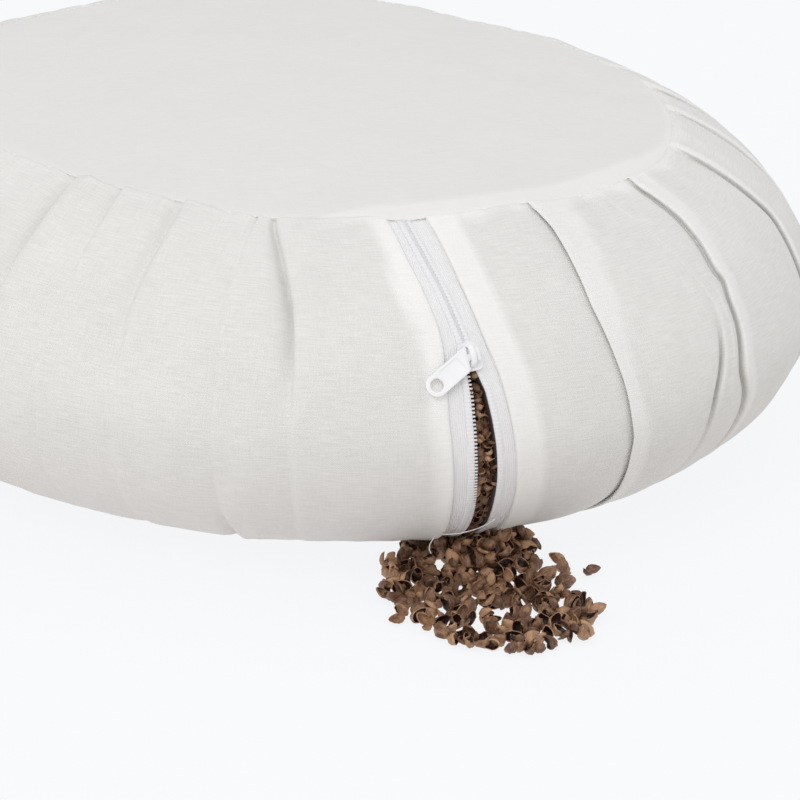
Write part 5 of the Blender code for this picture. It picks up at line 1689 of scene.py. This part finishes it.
# --- The thread --------------------------------------------------------------------------


def smooth_route(points, count):
    """Points at equal steps along a smooth curve through the route's own points."""
    route = np.array([tuple(point) for point in points])
    ends = np.vstack([2 * route[0] - route[1], route, 2 * route[-1] - route[-2]])
    fine = []
    for number in range(len(route) - 1):
        a, b, c, d = ends[number : number + 4]
        for t in np.linspace(0, 1, THREAD_FINENESS, endpoint=False):
            square = 2 * a - 5 * b + 4 * c - d
            cube = 3 * b - a - 3 * c + d
            fine.append(b + ((c - a) * t + square * t**2 + cube * t**3) / 2)
    fine.append(route[-1])
    fine = np.array(fine)
    along = np.concatenate([[0], np.cumsum(np.linalg.norm(np.diff(fine, axis=0), axis=1))])
    even = np.linspace(0, along[-1], count)
    return [[float(np.interp(place, along, fine[:, axis])) for axis in range(3)] for place in even]


def build_thread(finish):
    """The stray sewing thread from the zip's foot, over the cloth and down on the heap."""
    route = [on_side(azimuth, share, THREAD_LIFT) for azimuth, share in THREAD_ON_SIDE]
    route += [around(azimuth, reach, height) for azimuth, reach, height in THREAD_DROP]
    points = smooth_route(route, THREAD_POINTS)
    thread = tube("stray_thread", "POLY", points, THREAD_THICK, 2)
    thread.data.materials.append(finish)
    settle(thread, "loose_thread")


# --- The stage ---------------------------------------------------------------------------


def camera_turned():
    """The camera's place and axes, from the angles that fit the photograph."""
    elevation = math.radians(CAMERA_ELEVATION)
    back = Vector((0.0, -math.cos(elevation), math.sin(elevation)))
    place = back * CAMERA_DISTANCE + Vector((0.0, 0.0, CAMERA_AIM_HEIGHT))
    forward, right = -back, Vector((1.0, 0.0, 0.0))
    up = right.cross(forward)
    yaw = Matrix.Rotation(math.radians(CAMERA_YAW), 3, up)
    forward, right = yaw @ forward, yaw @ right
    pitch = Matrix.Rotation(math.radians(CAMERA_PITCH), 3, right)
    forward, up = pitch @ forward, pitch @ up
    roll = Matrix.Rotation(math.radians(CAMERA_ROLL), 3, forward)
    right, up = roll @ right, roll @ up
    round_axis = Matrix.Rotation(math.radians(CAMERA_AZIMUTH), 3, "Z")
    return axes_at(round_axis @ place, *(round_axis @ axis for axis in (right, up, -forward)))


def build_camera():
    camera = add_object("camera", bpy.data.cameras.new("camera"))
    camera.data.sensor_width = 36.0
    camera.data.lens = CAMERA_LENS
    camera.data.clip_start = 0.05
    camera.data.clip_end = 50.0
    camera.matrix_world = camera_turned()
    bpy.context.scene.camera = camera


def area_light(name, place, aim, size, power, colour):
    """A round light at a place, aimed at another."""
    light = bpy.data.lights.new(name, "AREA")
    light.shape = "DISK"
    light.size = size
    light.energy = power
    light.color = colour
    obj = add_object(name, light)
    obj.location = place
    obj.rotation_euler = (Vector(aim) - Vector(place)).to_track_quat("-Z", "Y").to_euler()


def build_floor(sizes):
    """A plain pale floor that is bright of itself, so that hardly any shadow shows."""
    floor = primitive("plane", size=24.0, location=(0.0, 0.0, -0.0002))
    floor.name = "studio_floor"
    floor.data.materials.append(Nodes("studio_floor").finish(
        (0.12, 0.12, 0.12, 1.0), None, rough=0.95, specular=0.0,
        glow=rgb(sizes.floor_colour), glow_strength=0.895))
    floor.visible_diffuse = False
    floor.visible_shadow = False


def build_sky(sizes):
    """Even light from above, and a dimmer, warmer one from below, as a studio's floor gives."""
    world = bpy.data.worlds.new("studio")
    bpy.context.scene.world = world
    nodes = Nodes("studio", world)
    direction = nodes.add("ShaderNodeTexCoord", "Generated", {})
    height = nodes.add("ShaderNodeSeparateXYZ", "Z", {"Vector": direction})
    rise = {"Value": height, "From Min": -0.35, "From Max": 0.25}
    share = nodes.add("ShaderNodeMapRange", "Result", rise, interpolation_type="SMOOTHSTEP")
    background = nodes.tree.nodes["Background"].inputs
    nodes.set(background["Strength"], sizes.sky)
    nodes.set(background["Color"], nodes.mix(share, rgb(sizes.bounce), (1.0, 0.998, 0.995, 1.0)))

# --- Operators ---------------------------------------------------------------------------


class ZAFU_OT_stage(bpy.types.Operator):
    """Sets up the floor, the light and the camera"""

    bl_idname = "zafu.stage"
    bl_label = "Stage"

    def execute(self, context):
        sizes = context.scene.zafu_stage
        context.scene.view_settings.view_transform = "Standard"
        build_camera()
        build_floor(sizes)
        build_sky(sizes)
        area_light("key_light", (-1.3, -1.5, 1.7), (0, 0, 0.05), 1.6, sizes.key, (1.0, 0.995, 0.985))
        area_light("fill_light", (0.8, -0.6, 2.0), (0, 0, 0.05), 1.8, sizes.fill, (0.98, 0.99, 1.0))
        area_light("low_light", (-1.5, -0.4, -0.8), (-0.1, -0.1, 0.05), 1.2, sizes.low, (1.0, 0.985, 0.975))
        return {"FINISHED"}


class ZAFU_OT_thread(bpy.types.Operator):
    """Lays the stray sewing thread over the zip's foot"""

    bl_idname = "zafu.thread"
    bl_label = "Stray thread"

    def execute(self, context):
        build_thread(thread_cotton((0.90, 0.895, 0.875)))
        return {"FINISHED"}


class ZAFU_OT_cover(bpy.types.Operator):
    """Sews the pleated cover over the filling"""

    bl_idname = "zafu.cover"
    bl_label = "Pleated cover"

    def execute(self, context):
        cover = build_cover(context.scene.zafu_cloth)
        settle(cover, "cushion_body")
        return {"FINISHED"}


class ZAFU_OT_panels(bpy.types.Operator):
    """Sews in the round panels on top and underneath"""

    bl_idname = "zafu.panels"
    bl_label = "Panels"

    def execute(self, context):
        sizes = context.scene.zafu_cloth
        rim = SEAM_RADIUS - 0.25 * MM
        foot_rim = float(side_place(BOTTOM_SEAM)[0]) - 0.4 * MM
        radii = [rim, *(SEAM_RADIUS - step * MM for step in RIM_STEPS), *np.arange(0.125, 0.004, -0.0062)]
        finish = cotton("natural_cotton_top", sizes, 0.42)
        top = build_panel("top_panel_cloth", radii, top_height, finish, True)
        edge = [foot_rim, FLOOR_RADIUS + 9 * MM, FLOOR_RADIUS + 4 * MM, FLOOR_RADIUS]
        radii = [*edge, *np.arange(0.115, 0.01, -0.012)]
        finish = cotton("natural_cotton_under", sizes, 0.6)
        under = build_panel("bottom_panel_cloth", radii, under_height, finish, False, -1)
        settle(top, "top_panel")
        settle(under, "bottom_panel")
        for panel, radius, held in ((top, rim, "stretched"), (under, foot_rim, "laid")):
            flat, area = (2 * radius, 2 * radius), math.pi * radius**2
        return {"FINISHED"}


class ZAFU_OT_zip(bpy.types.Operator):
    """Makes the zip's tapes, coils and stitching"""

    bl_idname = "zafu.zip"
    bl_label = "Zip"

    def execute(self, context):
        sizes = context.scene.zafu_zip
        build_tapes(sizes)
        build_coils(sizes)
        build_stitching(thread_cotton((0.93, 0.93, 0.92)))
        return {"FINISHED"}


class ZAFU_OT_slider(bpy.types.Operator):
    """Makes the slider and its pull"""

    bl_idname = "zafu.slider"
    bl_label = "Slider and pull"

    def execute(self, context):
        finish = enamel(context.scene.zafu_zip)
        build_slider(finish)
        build_pull(finish)
        return {"FINISHED"}


class ZAFU_OT_hulls(bpy.types.Operator):
    """Fills the open zip with hulls and spills the rest on the floor"""

    bl_idname = "zafu.hulls"
    bl_label = "Hulls"

    def execute(self, context):
        sizes = context.scene.zafu_hulls
        finish = hull_skin(sizes)
        kinds = hull_kinds(sizes)
        seed, floor = HULL_SEED + 3, 0.15 * MM
        hull_pile("spilt_hulls", kinds, heap_places(sizes), finish, seed, "spilled_hulls", floor)
        places = opening_places()
        hull_pile("hulls_in_opening", kinds, places, finish, seed + 2, "filling_in_opening")
        for number in (1, 2, 3):
            node = f"loose_hull_{number}"
            low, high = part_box(node)
            own, places = kinds[number * 3 - 1 :], [((low + high) / 2, 0.95)]
            hull_pile(f"lone_hull_{number}", own, places, finish, seed + 3 + number, node, floor)
        return {"FINISHED"}


class ZAFU_PT_build(bpy.types.Panel):
    """Lists the cushion's pieces and their sizes"""

    bl_idname = "ZAFU_PT_build"
    bl_label = "Zafu cushion"
    bl_space_type = "VIEW_3D"
    bl_region_type = "UI"
    bl_category = "Zafu"

    def draw(self, context):
        groups = (
            ("zafu_stage", ("zafu.stage",)),
            ("zafu_cloth", ("zafu.cover", "zafu.panels")),
            ("zafu_zip", ("zafu.zip", "zafu.slider")),
            ("zafu_hulls", ("zafu.hulls", "zafu.thread")),
        )
        for name, operators in groups:
            box = self.layout.box()
            settings = getattr(context.scene, name)
            for key in settings.__annotations__:
                box.prop(settings, key)
            for operator in operators:
                box.operator(operator)


CLASSES = (
    ZafuCloth, ZafuZip, ZafuHulls, ZafuStage,
    ZAFU_OT_stage, ZAFU_OT_thread, ZAFU_OT_cover, ZAFU_OT_panels, ZAFU_OT_zip, ZAFU_OT_slider,
    ZAFU_OT_hulls, ZAFU_PT_build,
)
SETTINGS = {"zafu_cloth": ZafuCloth, "zafu_zip": ZafuZip, "zafu_hulls": ZafuHulls, "zafu_stage": ZafuStage}


def register():
    for one in CLASSES:
        bpy.utils.register_class(one)
    for name, group in SETTINGS.items():
        setattr(bpy.types.Scene, name, PointerProperty(type=group))


def unregister():
    for name in SETTINGS:
        delattr(bpy.types.Scene, name)
    for one in reversed(CLASSES):
        bpy.utils.unregister_class(one)


def main():
    """Registers the add-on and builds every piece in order."""
    register()
    bpy.ops.zafu.stage()
    bpy.ops.zafu.thread()
    bpy.ops.zafu.cover()
    bpy.ops.zafu.panels()
    bpy.ops.zafu.zip()
    bpy.ops.zafu.slider()
    bpy.ops.zafu.hulls()


if __name__ == "__main__":
    main()
